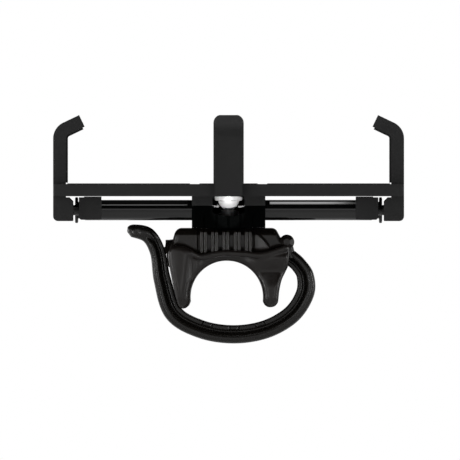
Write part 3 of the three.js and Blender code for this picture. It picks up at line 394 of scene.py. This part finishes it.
def make_screw(node, body, axis, flip, shank, head_radius, head_length, socket):
    """A socket-head screw in place of a CAD screw; flip says which end its head is on."""
    screw_low, screw_high = span(node)
    index = "xyz".index(axis)
    middle = (screw_low + screw_high) / 2
    middle[index] = 0
    head_end, tip = screw_high[index], screw_low[index]
    if flip < 0:
        head_end, tip = tip, head_end
    head = socket_head(head_end, head_length, head_radius - HAIR, socket, axis, middle, flip)
    inside = head_end - flip * (head_length - 0.05)
    bar = [(0, tip), (shank - 0.2, tip), (shank, tip + flip * 0.2), (shank, inside), (0, inside)]
    made = new_object(node + "_fine", *joined(head, lathe(bar[::flip], middle, axis, 32)),
                      BLACK_STEEL, TURNED_CREASE)
    stand_for(made, body, "black_steel", node)


for number in (1, 2):
    make_screw(f"saddle_screw_{number}", "mount", "z", -1, 1.25, 2.2, 1.2, 1.1)
    make_screw(f"claw_screw_{number}", "head", "z", -1, 1.0, 1.8, 0.8, 0.9)
    make_screw(f"left_tie_screw_{number}", "left_jaw", "x", -1, 1.6, 2.6, 1.87, 1.4)
    make_screw(f"right_tie_screw_{number}", "right_jaw", "x", 1, 1.6, 2.6, 1.87, 1.4)
for number in (1, 2, 3, 4):
    make_screw(f"hub_screw_{number}", "head", "z", -1, 1.25, 2.2, 2.0, 1.2)

# ---------------------------------------------------------------- moulded pieces from fields


def spline(points, count):
    """A Catmull-Rom curve through points, as count + 1 places."""
    knots = np.array(points, float)
    places = []
    for step in range(count + 1):
        t = step / count * (len(knots) - 1)
        k = min(int(t), len(knots) - 2)
        w = t - k
        p0, p1 = knots[max(k - 1, 0)], knots[k]
        p2, p3 = knots[k + 1], knots[min(k + 2, len(knots) - 1)]
        v0, v1 = (p2 - p0) / 2, (p3 - p1) / 2
        places.append((2 * p1 - 2 * p2 + v0 + v1) * w ** 3
                      + (3 * p2 - 3 * p1 - 2 * v0 - v1) * w ** 2 + v0 * w + p1)
    return np.array(places)


def bezier(start, control, end, count=10):
    """A quadratic Bezier curve without its first place."""
    t = np.linspace(0, 1, count + 1)[1:, None]
    return (1 - t) ** 2 * np.array(start) + 2 * (1 - t) * t * np.array(control) + t ** 2 * np.array(end)


def segment_distance(x, z, a, b):
    """Distance in the X-Z plane to the segment from a to b."""
    dx, dz = b[0] - a[0], b[1] - a[1]
    t = np.clip(((x - a[0]) * dx + (z - a[1]) * dz) / (dx * dx + dz * dz + 1e-12), 0, 1)
    return np.hypot(x - a[0] - t * dx, z - a[1] - t * dz)


def line_distance(x, z, line):
    """Distance in the X-Z plane to an open polyline."""
    best = np.full(np.shape(x), 1e9)
    for a, b in zip(line, line[1:]):
        best = np.minimum(best, segment_distance(x, z, a, b))
    return best


def outline_distance(x, z, outline):
    """Signed distance to a closed outline, negative inside."""
    best = np.full(np.shape(x), 1e9)
    inside = np.zeros(np.shape(x), bool)
    for a, b in zip(outline, np.roll(outline, -1, axis=0)):
        best = np.minimum(best, segment_distance(x, z, a, b))
        crosses = (a[1] > z) != (b[1] > z)
        if a[1] != b[1]:
            inside ^= crosses & (x < a[0] + (z - a[1]) * (b[0] - a[0]) / (b[1] - a[1]))
    return np.where(inside, -best, best)


class Sheet:
    """A function of x and z kept on a fine grid and read between its points."""

    def __init__(self, function, low, high, step=0.1):
        self.low, self.step = np.array(low, float), step
        counts = [int((high[i] - low[i]) / step) + 2 for i in (0, 1)]
        x, z = np.meshgrid(*[low[i] + step * np.arange(counts[i]) for i in (0, 1)], indexing="ij")
        self.values = function(x, z)

    def __call__(self, x, z):
        u = np.clip((x - self.low[0]) / self.step, 0, self.values.shape[0] - 1.001)
        v = np.clip((z - self.low[1]) / self.step, 0, self.values.shape[1] - 1.001)
        i, j = u.astype(int), v.astype(int)
        s, t = u - i, v - j
        g = self.values
        return ((1 - s) * (1 - t) * g[i, j] + s * (1 - t) * g[i + 1, j]
                + (1 - s) * t * g[i, j + 1] + s * t * g[i + 1, j + 1])


def round_meet(a, b, radius):
    """Both a and b, with the edge between them rounded."""
    u, v = np.maximum(a + radius, 0), np.maximum(b + radius, 0)
    return np.minimum(np.maximum(a, b) + radius, 0) + np.hypot(u, v) - radius


def soft_join(a, b, width):
    """Either a or b, with a fillet of about that width."""
    h = np.clip(0.5 + 0.5 * (b - a) / width, 0, 1)
    return b * (1 - h) + a * h - width * h * (1 - h)


def ease(value, start, end):
    """A smooth step from 0 at start to 1 at end."""
    t = np.clip((value - start) / (end - start), 0, 1)
    return t * t * (3 - 2 * t)


def net(field, low, high, step):
    """Points and faces of the surface where field(x, y, z) is 0 (surface nets), pulled onto it."""
    low = np.array(low, float)
    counts = np.ceil((np.array(high) - low) / step).astype(int) + 1
    axes = [low[i] + step * np.arange(counts[i]) for i in range(3)]
    values = field(*np.meshgrid(*axes, indexing="ij"))
    inside = values < 0
    cells = tuple(counts - 1)
    total, weight = np.zeros(cells + (3,)), np.zeros(cells)
    corners = [(i, j, k) for i in (0, 1) for j in (0, 1) for k in (0, 1)]

    def at(array, corner):
        return array[tuple(slice(c, n + c) for c, n in zip(corner, cells))]

    for a in corners:
        for axis in range(3):
            if a[axis]:
                continue
            b = tuple(c + (n == axis) for n, c in enumerate(a))
            va, vb = at(values, a), at(values, b)
            crossing = at(inside, a) != at(inside, b)
            t = np.where(crossing, va / np.where(crossing, va - vb, 1), 0)
            for n in range(3):
                total[..., n] += crossing * (a[n] + (t if n == axis else 0))
            weight += crossing
    used = weight > 0
    number = np.full(cells, -1)
    number[used] = np.arange(used.sum())
    where = np.argwhere(used)
    points = low + step * (where + total[used] / weight[used][:, None])
    faces = []
    for axis in range(3):
        u, v = (axis + 1) % 3, (axis + 2) % 3
        first = [slice(1, -1)] * 3
        first[axis] = slice(0, -1)
        second = list(first)
        second[axis] = slice(1, None)
        here, there = inside[tuple(first)], inside[tuple(second)]
        for rising in (False, True):
            spots = np.argwhere((here != there) & (here == rising))
            spots += [0 if n == axis else 1 for n in range(3)]
            quad = []
            for du, dv in ((1, 1), (0, 1), (0, 0), (1, 0)):
                cell = spots.copy()
                cell[:, u] -= du
                cell[:, v] -= dv
                quad.append(number[tuple(cell.T)])
            quad = np.stack(quad, axis=1)
            faces.append(quad if rising else quad[:, ::-1])
    faces = np.concatenate(faces)
    edges = np.concatenate([faces[:, [k, (k + 1) % 4]] for k in range(4)])
    for _ in range(3):
        sums, share = np.zeros_like(points), np.zeros(len(points))
        np.add.at(sums, edges[:, 0], points[edges[:, 1]])
        np.add.at(share, edges[:, 0], 1)
        points = points * 0.4 + sums / share[:, None] * 0.6
        points = onto(field, points, step)
    return points, faces.tolist()


def onto(field, points, step):
    """Moves points along the field's slope to where it is 0."""
    small = 0.02
    for _ in range(2):
        x, y, z = points.T
        value = field(x, y, z)
        slope = np.stack([field(x + small, y, z) - value, field(x, y + small, z) - value,
                          field(x, y, z + small) - value], axis=1) / small
        size = np.maximum((slope ** 2).sum(axis=1), 0.2)
        move = slope * (value / size)[:, None]
        length = np.linalg.norm(move, axis=1, keepdims=True)
        points = points - move * np.minimum(1, step / np.maximum(length, 1e-9))
    return points


BAR_RADIUS = 11.1
pin_low, pin_high = span("anchor_pin")
EYE_X, EYE_Z = (pin_low[0] + pin_high[0]) / 2, (pin_low[2] + pin_high[2]) / 2
EYE_RADIUS, EYE_ROOM = 2.35, 2.65
STRAP_HALF = span("strap_root")[1][1]
POCKET_HALF = STRAP_HALF + 0.2
SADDLE_HALF = span("bar_saddle")[1][1] - 0.2
BODY_HALF = 13.0
SCREW_PLACES = (-9.0, 9.0)
SCREW_BORE, HEAD_BORE, PIVOT_BORE = 1.4, 2.35, 2.5
CATCH_HALF, CATCH_X = 3.35, -14.3  # half width and inner end of the room for the strap's hook
# Where the saddle and the mount body meet, from left to right.
SEAM = spline([(-18.2, 13.9), (-17.4, 15.3), (-15.4, 15.9), (-13.2, 15.5), (-8.4, 13.3), (-4, 14),
               (0, 14.5), (6, 14.2), (10.8, 13.8), (15.1, 14.9), (18.2, 16)], 60)


def eye_pocket(x, y, z):
    """The room round the strap's eye, open to the right; negative inside."""
    room = np.hypot(x - EYE_X, z - EYE_Z) - EYE_ROOM
    mouth = np.maximum(np.abs(x - EYE_X - 2.4) - 2.4, np.abs(z - 16.3) - 1.65)
    return np.maximum(np.minimum(room, mouth), np.abs(y) - POCKET_HALF)


def bore(x, y, place, radius, z, top):
    """A vertical round hole up to a height, negative inside."""
    return np.maximum(np.hypot(x - place[0], y - place[1]) - radius, z - top)


# The middle of the strap's thickness, from its tab round the bar to its root.
STRAP_LINE = [(-30.9, 20.55), (-29.1, 20.5), (-24.35, 19.05), (-21.45, 13.9), (-19.95, 5.2),
              (-16.5, -5), (-8, -10), (2.1, -11.6), (12, -10.05), (20, -5.5), (24.2, 0.9),
              (24.35, 6.4), (22.3, 9.9), (20.2, 11.8), (18.7, 12.8)]
strap_middle = Sheet(lambda x, z: line_distance(x, z, spline(STRAP_LINE, 90)), (-20, -6), (-10, 18))


def strap_room(x, z):
    """The groove that the strap lies in down the saddle's left leg, negative inside."""
    return np.maximum(strap_middle(x, z) - 2.95, x + 10.5)


def saddle_outline():
    """The seam, the left leg, the arch over the bar and the right leg."""
    arch_radius = BAR_RADIUS + 0.1
    angles = np.linspace(math.pi + 0.12, -0.12, 60)
    arch = np.stack([arch_radius * np.cos(angles), arch_radius * np.sin(angles)], axis=1)
    left = spline([SEAM[0], (-18.15, 11.4), (-17.2, 6.2), (-16.1, 1), (-15, -2.7), (-14, -3.55),
                   (-12.8, -3.5), (-11.7, -2.6), arch[0]], 64)[:-1]
    right = spline([arch[-1], (11.6, -2.3), (12.5, -3.05), (13.7, -3.2), (14.9, -2.85), (15.8, -1.8),
                    (16.05, -0.3), (16.3, 2), (17, 5.2), (18.1, 7.6), (19, 9.6), (19.3, 12),
                    (19.2, 14.4), SEAM[-1]], 90)[1:-1]
    return np.concatenate([left, arch, right, SEAM[::-1][1:-1]])


WEB_DEPTH, LOBE_CROWN = 2.1, 0.5
BARREL_RISE, BARREL_Z, BARREL_REACH = 2.1, 12, 4.6
LEG_RISE, BAND_DEPTH, FOOT_DROOP = 1.9, 0.5, 0.9
LIP_RADIUS, LIP_DROP = 0.95, 0.9
EDGE_ROUNDING = 1.7
ROOT_POCKET = (17.0, 8.4)  # inner face and floor of the room for the strap's root


def saddle_relief(x, z):
    """How deep the saddle's front face lies at a place: lobe, web, barrel and leg."""
    lobe_edge = -9.6 - 0.16 * (13.5 - z)
    web = WEB_DEPTH * ease(x, lobe_edge - 3.6, lobe_edge + 2.8)
    from_crown = np.hypot((x + 14.6) / 4.5, (z - 7) / 12.5)
    lobe = LOBE_CROWN * ease(from_crown, 0.2, 1.1) * ease(-9 - x, 0, 2)
    across = np.clip((z - BARREL_Z) / BARREL_REACH, -1, 1)
    barrel = BARREL_RISE * np.cos(math.pi / 2 * across) ** 2 * ease(x, 5.0, 14.5)
    leg = LEG_RISE * ease(10.4 - z, 0.0, 8.0) * ease(x, 6.5, 13.5)
    band = BAND_DEPTH * np.exp(-((z - 7.6) / 1.7) ** 2) * ease(x, 6.5, 13.0)
    droop = FOOT_DROOP * ease(-0.2 - z, 0, 3.2)
    return web + lobe - barrel - leg + band + droop


def make_saddle():
    """The rubber saddle that sits on the bar, with room for the strap and the screws."""
    outline = saddle_outline()
    box_low, box_high = (-19.6, -5.0), (20.8, 17.6)
    edge = Sheet(lambda x, z: outline_distance(x, z, outline), box_low, box_high)
    lip_line = (SEAM - [0, LIP_DROP])[18:61]
    lip = Sheet(lambda x, z: line_distance(x, z, lip_line), box_low, box_high)
    depth = Sheet(saddle_relief, box_low, box_high)

    def field(x, y, z):
        side = np.abs(y)
        front = side - SADDLE_HALF + np.maximum(depth(x, z), 0)
        body = round_meet(edge(x, z), front, EDGE_ROUNDING)
        set_back = 0.85 + 0.9 * ease(-8.6 - x, 0, 3)
        bead = np.hypot(lip(x, z), side - SADDLE_HALF + set_back) - LIP_RADIUS
        body = soft_join(body, bead, 0.7)
        root = np.maximum(ROOT_POCKET[0] - x, ROOT_POCKET[1] - z)
        holes = [eye_pocket(x, y, z), np.maximum(root, side - POCKET_HALF),
                 np.maximum(strap_room(x, z), side - POCKET_HALF)]
        for place in SCREW_PLACES:
            holes.append(bore(x, y, (PIVOT_X, place), SCREW_BORE, z, 30))
            holes.append(bore(x, y, (PIVOT_X, place), HEAD_BORE, z, 13.05))
        holes.append(bore(x, y, (PIVOT_X, 0), PIVOT_BORE, z, 30))
        catch = np.maximum(side - CATCH_HALF, 13.25 - z)
        holes.append(np.maximum(catch, x - CATCH_X))
        for hole in holes:
            body = np.maximum(body, -hole)
        return body

    points, faces = net(field, (-19.0, -15.6, -4.4), (20.3, 15.6, 16.8), NET_STEP)
    made = new_object("saddle_moulded", points, faces, RUBBER)
    stand_for(made, "mount", "saddle_rubber", "bar_saddle")


RIB_PLACES = [-7.2, -3.75, -0.3, 3.2, 6.65]
RIDGE_RADIUS, RIDGE_OFFSET, RIDGE_DEPTH = 0.56, 0.58, 12.95
RIDGE_FOOT, RIDGE_TOP = 13.3, 20.5
MOUNT_TOP = span("hub_housing")[0][2] - 0.005


def ridge(x, y, foot, top, radius):
    """An upright round bar with domed ends."""
    ring = []
    for step in range(7):
        angle = math.pi / 2 * step / 6
        ring.append((radius * math.sin(angle), foot + radius - radius * math.cos(angle)))
    ring += [(r, foot + top - z) for r, z in ring[::-1]]
    return lathe(ring, (x, y, 0), "z", 16)


def mount_outline():
    """Left side, rounded top corners, right side and back along the seam."""
    left = bezier((-16.2, 19.7), (-15.4, MOUNT_TOP), (-14, MOUNT_TOP))
    right = bezier((13.8, MOUNT_TOP), (15, MOUNT_TOP), (15.6, 20.4))
    return np.concatenate([[(-16.7, 18), (-16.2, 19.7)], left, [(13.8, MOUNT_TOP)], right,
                           [(16.4, 18.9)], (SEAM + [0, -0.12])[::-1]])


LUG_DEPTH, FOLD_DEPTH, SHOULDER_SWELL, MIDDLE_DEPTH = 2.6, 1.3, 0.9, 0.5
BROW_SLOPE, BROW_FOOT, BROW_HEIGHT = 1.1, 19.3, 1.3


def mount_relief(x, z):
    """The mount's front face: a set-back lug on the left, a folded shoulder on the right, and a
    brow that slopes back to the hub."""
    lug = LUG_DEPTH * ease(-16.2 - x, 0.0, 0.8)
    fold_x = 10.2 + 1.15 * (18.9 - z) - 0.1 * (18.9 - z) ** 2
    past_fold = ease(x, fold_x - 0.1, fold_x + 0.6)
    swell = SHOULDER_SWELL * ease(x, 8.6, 14.5) * (1 - past_fold)
    middle = MIDDLE_DEPTH * ease(9.2 - np.abs(x + 0.3), 0, 0.8)
    brow = BROW_SLOPE * np.clip(z - BROW_FOOT, 0, BROW_HEIGHT)
    return lug + FOLD_DEPTH * past_fold - swell + middle + brow + 0.4


def catch_lug(x, side, z):
    """The two ears beside the hook, sloping back upward; negative inside."""
    neck = 0.55 + 0.08 * (z - 9.6).clip(0, 6)
    ear = np.minimum(np.hypot(x + 17.2, z - 15.9) - 1.9,
                     segment_distance(x, z, (-17.9, 15), (-17.7, 9.8)) - neck)
    slope = side - 12.4 + 0.9 * (z - 9.8)
    return np.maximum(np.maximum(ear, 3.4 - side), slope)


def make_mount_body():
    """The mount body with its ribs, lug and bores."""
    outline = mount_outline()
    box_low, box_high = (-19.6, 8.4), (22.0, 22.4)
    edge = Sheet(lambda x, z: outline_distance(x, z, outline), box_low, box_high)
    depth = Sheet(mount_relief, box_low, box_high)

    def field(x, y, z):
        side = np.abs(y)
        from_pivot = np.hypot(x - PIVOT_X, y)
        body = round_meet(edge(x, z), side - BODY_HALF + depth(x, z), EDGE_ROUNDING)
        body = np.minimum(body, catch_lug(x, side, z))
        body = np.maximum(body, -eye_pocket(x, y, z))
        body = np.maximum(body, np.minimum(x - 19.9, 14.9 - z))
        pin = np.maximum(np.hypot(x - EYE_X, z - EYE_Z) - 1.15, side - 12.45)
        catch = np.maximum(side - CATCH_HALF, np.abs(z - 15.6) - 2.35)
        holes = [pin, np.maximum(from_pivot - 10.75, 20.6 - z),
                 np.maximum(from_pivot - 4.15, 16.85 - z),
                 bore(x, y, (PIVOT_X, 0), 1.45, z, 18),
                 bore(x, y, (PIVOT_X, 0), PIVOT_BORE, z, 15.75)]
        holes += [bore(x, y, (PIVOT_X, place), SCREW_BORE, z, 18.9) for place in SCREW_PLACES]
        holes.append(np.maximum(catch, x - CATCH_X))
        for hole in holes:
            body = np.maximum(body, -hole)
        return body

    shells = [net(field, (-19.7, -14.6, 8.7), (21.6, 14.6, 21.9), NET_STEP)]
    for side in (-1, 1):
        for place in RIB_PLACES:
            for offset in (-RIDGE_OFFSET, RIDGE_OFFSET):
                shells.append(ridge(place + offset, side * RIDGE_DEPTH, RIDGE_FOOT, RIDGE_TOP,
                                    RIDGE_RADIUS))
    made = new_object("mount_body_moulded", *joined(*shells), MOULDED)
    stand_for(made, "mount", "moulded_plastic", "mount_body")


CAP_BORE, CAP_FOOT, CAP_FLOOR = 1.2, 9.4, 12.55


def make_eye_caps():
    """The faceted ends over the strap's pin."""
    caps = []
    for side in (-1, 1):
        profile = [(0, CAP_FLOOR), (CAP_BORE, CAP_FLOOR), (CAP_BORE, CAP_FOOT),
                   (EYE_RADIUS, CAP_FOOT), (EYE_RADIUS, 10.9), (1.1, 12.7), (0, 12.8)]
        profile = [(radius, side * y) for radius, y in profile]
        caps.append(lathe(profile if side > 0 else profile[::-1], (EYE_X, 0, EYE_Z), "y", 6))
    made = new_object("strap_eye_caps", *joined(*caps), MOULDED, crease=20)
    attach(made, "mount")


NET_STEP = 0.3
make_saddle()
make_mount_body()
make_eye_caps()

# ---------------------------------------------------------------- strap

HOLE_PLACES = [-6.6, 2.3, 10.9]
# The short neck that joins the strap's root to its eye.
NECK_LINE = [(19.8, 12.0), (19.5, 13.3), (19.3, 14.5), (19.1, 15.6)]
BEAD_ACROSS, BEAD_SIDE, BEAD_HALF_LEVEL = 7.3, 1.68, 0.275
THIN_BEAD_ACROSS, THIN_BEAD_SIDE, THIN_BEAD_LEVEL = 7.75, 0.6, 0.65
PLAIN_ACROSS, PLAIN_SIDE = 7.1, 1.88
TAB_THICKNESS, FLANK_GAIN, LOOP_GAIN, ROOT_LOSS = 3.8, 0.95, 0.95, 0.7
TAB_CAP, TAB_CORNER, ROOT_CAP = 1.95, 5.0, 1.2


def strap_section(structure):
    """Half of the strap's section from its outer face to its inner one, as (across, level) pairs;
    level runs from 0 to 1. structure mixes from a plain rounded section to bead, groove and band."""
    plain, shaped = [], []
    for step in range(14):
        angle = math.radians(-90 + 165 * step / 13)
        level = BEAD_HALF_LEVEL * (1 + math.sin(angle))
        shaped.append((BEAD_ACROSS + BEAD_SIDE * math.cos(angle), level))
    shaped += [(7.62, 0.565), (7.6, 0.58)]
    for step in range(7):
        angle = math.radians(-70 + 140 * step / 6)
        level = THIN_BEAD_LEVEL + 0.06 * math.sin(angle)
        shaped.append((THIN_BEAD_ACROSS + THIN_BEAD_SIDE * math.cos(angle), level))
    shaped += [(7.62, 0.715), (7.55, 0.73), (7.62, 0.76), (7.64, 0.79), (7.64, 0.83), (7.64, 0.87),
               (7.62, 0.91), (7.55, 0.94), (7.4, 0.965), (7.1, 0.985), (6.6, 1.0)]
    for step in range(len(shaped)):
        angle = math.pi * (step / (len(shaped) - 1)) - math.pi / 2
        across = PLAIN_ACROSS + PLAIN_SIDE * max(math.cos(angle), 0) ** 0.8
        plain.append((across, 0.5 + 0.5 * math.sin(angle)))
    half = np.array(plain) * (1 - structure) + np.array(shaped) * structure
    inward = np.linspace(0, 1, 9)[1:-1, None]
    inner = half[-1] * (1 - inward) + np.array([0, half[-1][1]]) * inward
    outer = np.array([0, half[0][1]]) * (1 - inward) + half[0] * inward
    return np.concatenate([[(0, half[0][1])], outer, half, inner, [(0, half[-1][1])]])


def loft(line, thickness, section, narrow=None, carve=None):
    """Points and faces of a strap along a line in the X-Z plane. section(k) gives half a section,
    narrow scales it across, and carve(k, across, level, offset) cuts into it."""
    tangent = np.gradient(line, axis=0)
    tangent /= np.linalg.norm(tangent, axis=1, keepdims=True)
    normal = np.stack([-tangent[:, 1], tangent[:, 0]], axis=1)
    points, rings = [], []
    for k in range(len(line)):
        half = section(k)
        across = half[:, 0] * (1 if narrow is None else narrow[k])
        across = np.concatenate([across, -across[::-1][1:-1]])
        level = np.concatenate([half[:, 1], half[::-1][1:-1, 1]])
        offset = (level - 0.5) * thickness[k]
        if carve:
            across, offset = carve(k, across, level, offset)
        rings.append(range(len(points), len(points) + len(level)))
        for a, o in zip(across, offset):
            place = line[k] + normal[k] * o
            points.append((place[0], a, place[1]))
    faces = []
    for a, b in zip(rings, rings[1:]):
        for n in range(len(a)):
            m = (n + 1) % len(a)
            faces.append((a[n], b[n], b[m], a[m]))
    faces.append(tuple(rings[0]))
    faces.append(tuple(rings[-1])[::-1])
    return points, faces


def rounding(distance, reach):
    """The height of a quarter round at a distance from its end."""
    return np.sqrt(np.clip(1 - (1 - np.clip(distance / reach, 0, 1)) ** 2, 0, 1))


def make_strap():
    """The strap from its tab to its root, with three marks in its inner band, and its eye."""
    count = 420
    line = spline(STRAP_LINE, count)
    steps = np.linalg.norm(np.diff(line, axis=0), axis=1)
    along = np.concatenate([[0], np.cumsum(steps)])
    share = np.linspace(0, 1, count + 1)
    thickness = TAB_THICKNESS + FLANK_GAIN * ease(share, 0.04, 0.14)
    thickness = thickness + LOOP_GAIN * ease(share, 0.2, 0.34) - ROOT_LOSS * ease(share, 0.72, 0.86)
    tip = np.maximum(rounding(along, TAB_CAP), 0.12)
    thickness = thickness * tip * np.maximum(rounding(along[-1] - along, ROOT_CAP), 0.2)
    narrow = 0.55 + 0.45 * rounding(along, TAB_CORNER)

    def section(k):
        return strap_section(float(ease(along[k], 5.5, 10.0)))

    def carve(k, across, level, offset):
        if share[k] < 0.3:
            return across, offset
        for hole in HOLE_PLACES:
            mark = float(1 - ease(abs(line[k, 0] - hole), 1.3, 1.75))
            notch = (level > 0.785) & (level < 0.92)
            across = across - np.sign(across) * mark * 0.9 * notch
            pocket = (1 - ease(np.abs(across), 3.7, 4.3)) * (level > 0.95)
            offset = offset - mark * pocket * 2.0
        return across, offset

    body = loft(line, thickness, section, narrow, carve)
    neck_line = spline(NECK_LINE, 12)
    neck = loft(neck_line, np.linspace(3.5, 2.9, len(neck_line)), lambda k: strap_section(0.0))
    bore_radius, side, chamfer = 1.2, STRAP_HALF - 0.05, 0.35
    outer = EYE_RADIUS - 0.03
    ring = [(bore_radius, -side), (outer - chamfer + 0.03, -side), (outer, chamfer - side),
            (outer, side - chamfer), (outer - chamfer + 0.03, side), (bore_radius, side)]
    eye = lathe(ring, (EYE_X, 0, EYE_Z), "y", 48)
    made = new_object("strap_loop", *joined(body, neck, eye), STRAP, crease=55)
    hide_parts("strap_root", "strap_tail")
    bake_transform(made)


make_strap()

# ---------------------------------------------------------------- studio


def hang(name, data, place, aim):
    """Puts a light at a place, aimed at a point (metres)."""
    lamp = bpy.data.objects.new(name, data)
    bpy.context.scene.collection.objects.link(lamp)
    lamp.location = place
    lamp.rotation_euler = (Vector(aim) - Vector(place)).to_track_quat("-Z", "Y").to_euler()


def softbox(name, place, aim, width, depth, radiance):
    """A rectangular light of a given radiance."""
    data = bpy.data.lights.new(name, "AREA")
    data.shape = "RECTANGLE"
    data.size = width
    data.size_y = depth
    data.energy = radiance * math.pi * width * depth
    hang(name, data, place, aim)


def spot(name, place, aim, angle, power):
    """A narrow light for what lies inside the hub's slot."""
    data = bpy.data.lights.new(name, "SPOT")
    data.energy = power
    data.shadow_soft_size = 0
    data.spot_size = math.radians(angle)
    data.spot_blend = 0.4
    hang(name, data, place, aim)


HORIZON_GLOW = 0.95
SKY_GLOW = 0.03


def studio_world():
    """A white backdrop for the camera; the object is lit by a bright horizon and a dark sky."""
    world = bpy.data.worlds.new("studio")
    bpy.context.scene.world = world
    world.use_nodes = True
    nodes, links = world.node_tree.nodes, world.node_tree.links
    nodes.clear()
    place = nodes.new("ShaderNodeTexCoord")
    split = nodes.new("ShaderNodeSeparateXYZ")
    links.new(place.outputs["Generated"], split.inputs["Vector"])
    grade = nodes.new("ShaderNodeMapRange")
    grade.interpolation_type = "SMOOTHSTEP"
    grade.inputs["From Min"].default_value = math.sin(math.radians(8))
    grade.inputs["From Max"].default_value = math.sin(math.radians(24))
    grade.inputs["To Min"].default_value = HORIZON_GLOW
    grade.inputs["To Max"].default_value = SKY_GLOW
    links.new(split.outputs["Z"], grade.inputs["Value"])
    lit = nodes.new("ShaderNodeBackground")
    links.new(grade.outputs["Result"], lit.inputs["Strength"])
    seen = nodes.new("ShaderNodeBackground")
    seen.inputs["Strength"].default_value = 1.0
    path = nodes.new("ShaderNodeLightPath")
    mix = nodes.new("ShaderNodeMixShader")
    links.new(path.outputs["Is Camera Ray"], mix.inputs["Fac"])
    links.new(lit.outputs["Background"], mix.inputs[1])
    links.new(seen.outputs["Background"], mix.inputs[2])
    for socket in (lit.inputs["Color"], seen.inputs["Color"]):
        socket.default_value = (1, 1, 1, 1)
    output = nodes.new("ShaderNodeOutputWorld")
    links.new(mix.outputs["Shader"], output.inputs["Surface"])


studio_world()
CENTRE = (0, 0, 0.02)
SLOT = (0, 0, 0.0285)
BALL = (0.0005, -0.003, 0.0293)
BELOW = (0, 0, -0.06)
ROD_Y, ROD_TOP = -0.015, 0.03
FLOOR_Z = -0.062
VIEW_WIDTH = 0.1426
softbox("overhead right", (0.0228, ROD_Y, 0.33), (0.0228, ROD_Y, ROD_TOP), 0.0265, 0.2, 6.0)
softbox("overhead left", (-0.027, ROD_Y - 0.16, 0.27), (-0.027, ROD_Y, ROD_TOP), 0.036, 0.1, 2.8)
softbox("back key", (0.35, 0.6, 0.4), CENTRE, 0.4, 0.4, 3)
softbox("back strip", (-0.5, 0.35, 0.06), CENTRE, 0.08, 0.3, 8)
softbox("key", (-0.4, -0.5, 0.36), CENTRE, 0.35, 0.35, 1.9)
softbox("left window", (-0.33, -0.84, -0.02), SLOT, 0.14, 0.06, 22)
softbox("right window", (0.33, -0.84, -0.02), SLOT, 0.14, 0.06, 18)
softbox("left strip", (-0.55, -0.2, 0.06), CENTRE, 0.06, 0.3, 16)
softbox("right strip", (0.55, -0.16, 0.06), CENTRE, 0.06, 0.3, 16)
softbox("left ceiling", (-0.55, 0.25, 0.7), BELOW, 0.5, 0.5, 4)
softbox("right ceiling", (0.55, 0.25, 0.7), BELOW, 0.5, 0.5, 4)
spot("pivot accent", (0.0005, -0.298, -0.0225), BALL, 2.3, 3.6)

bpy.ops.mesh.primitive_plane_add(size=3.0, location=(0, 0, FLOOR_Z))
floor = bpy.context.object
floor.name = "floor"
floor.data.materials.append(FLOOR)

camera_data = bpy.data.cameras.new("camera")
camera_data.type = "ORTHO"
camera_data.ortho_scale = VIEW_WIDTH
camera_data.clip_end = 10
camera = bpy.data.objects.new("camera", camera_data)
bpy.context.scene.collection.objects.link(camera)
camera.location = (0.00099, -1.0, 0.02074)
camera.rotation_euler = (math.pi / 2, 0, 0)
bpy.context.scene.camera = camera
bpy.context.scene.view_settings.view_transform = "Standard"
bpy.context.scene.view_settings.look = "None"
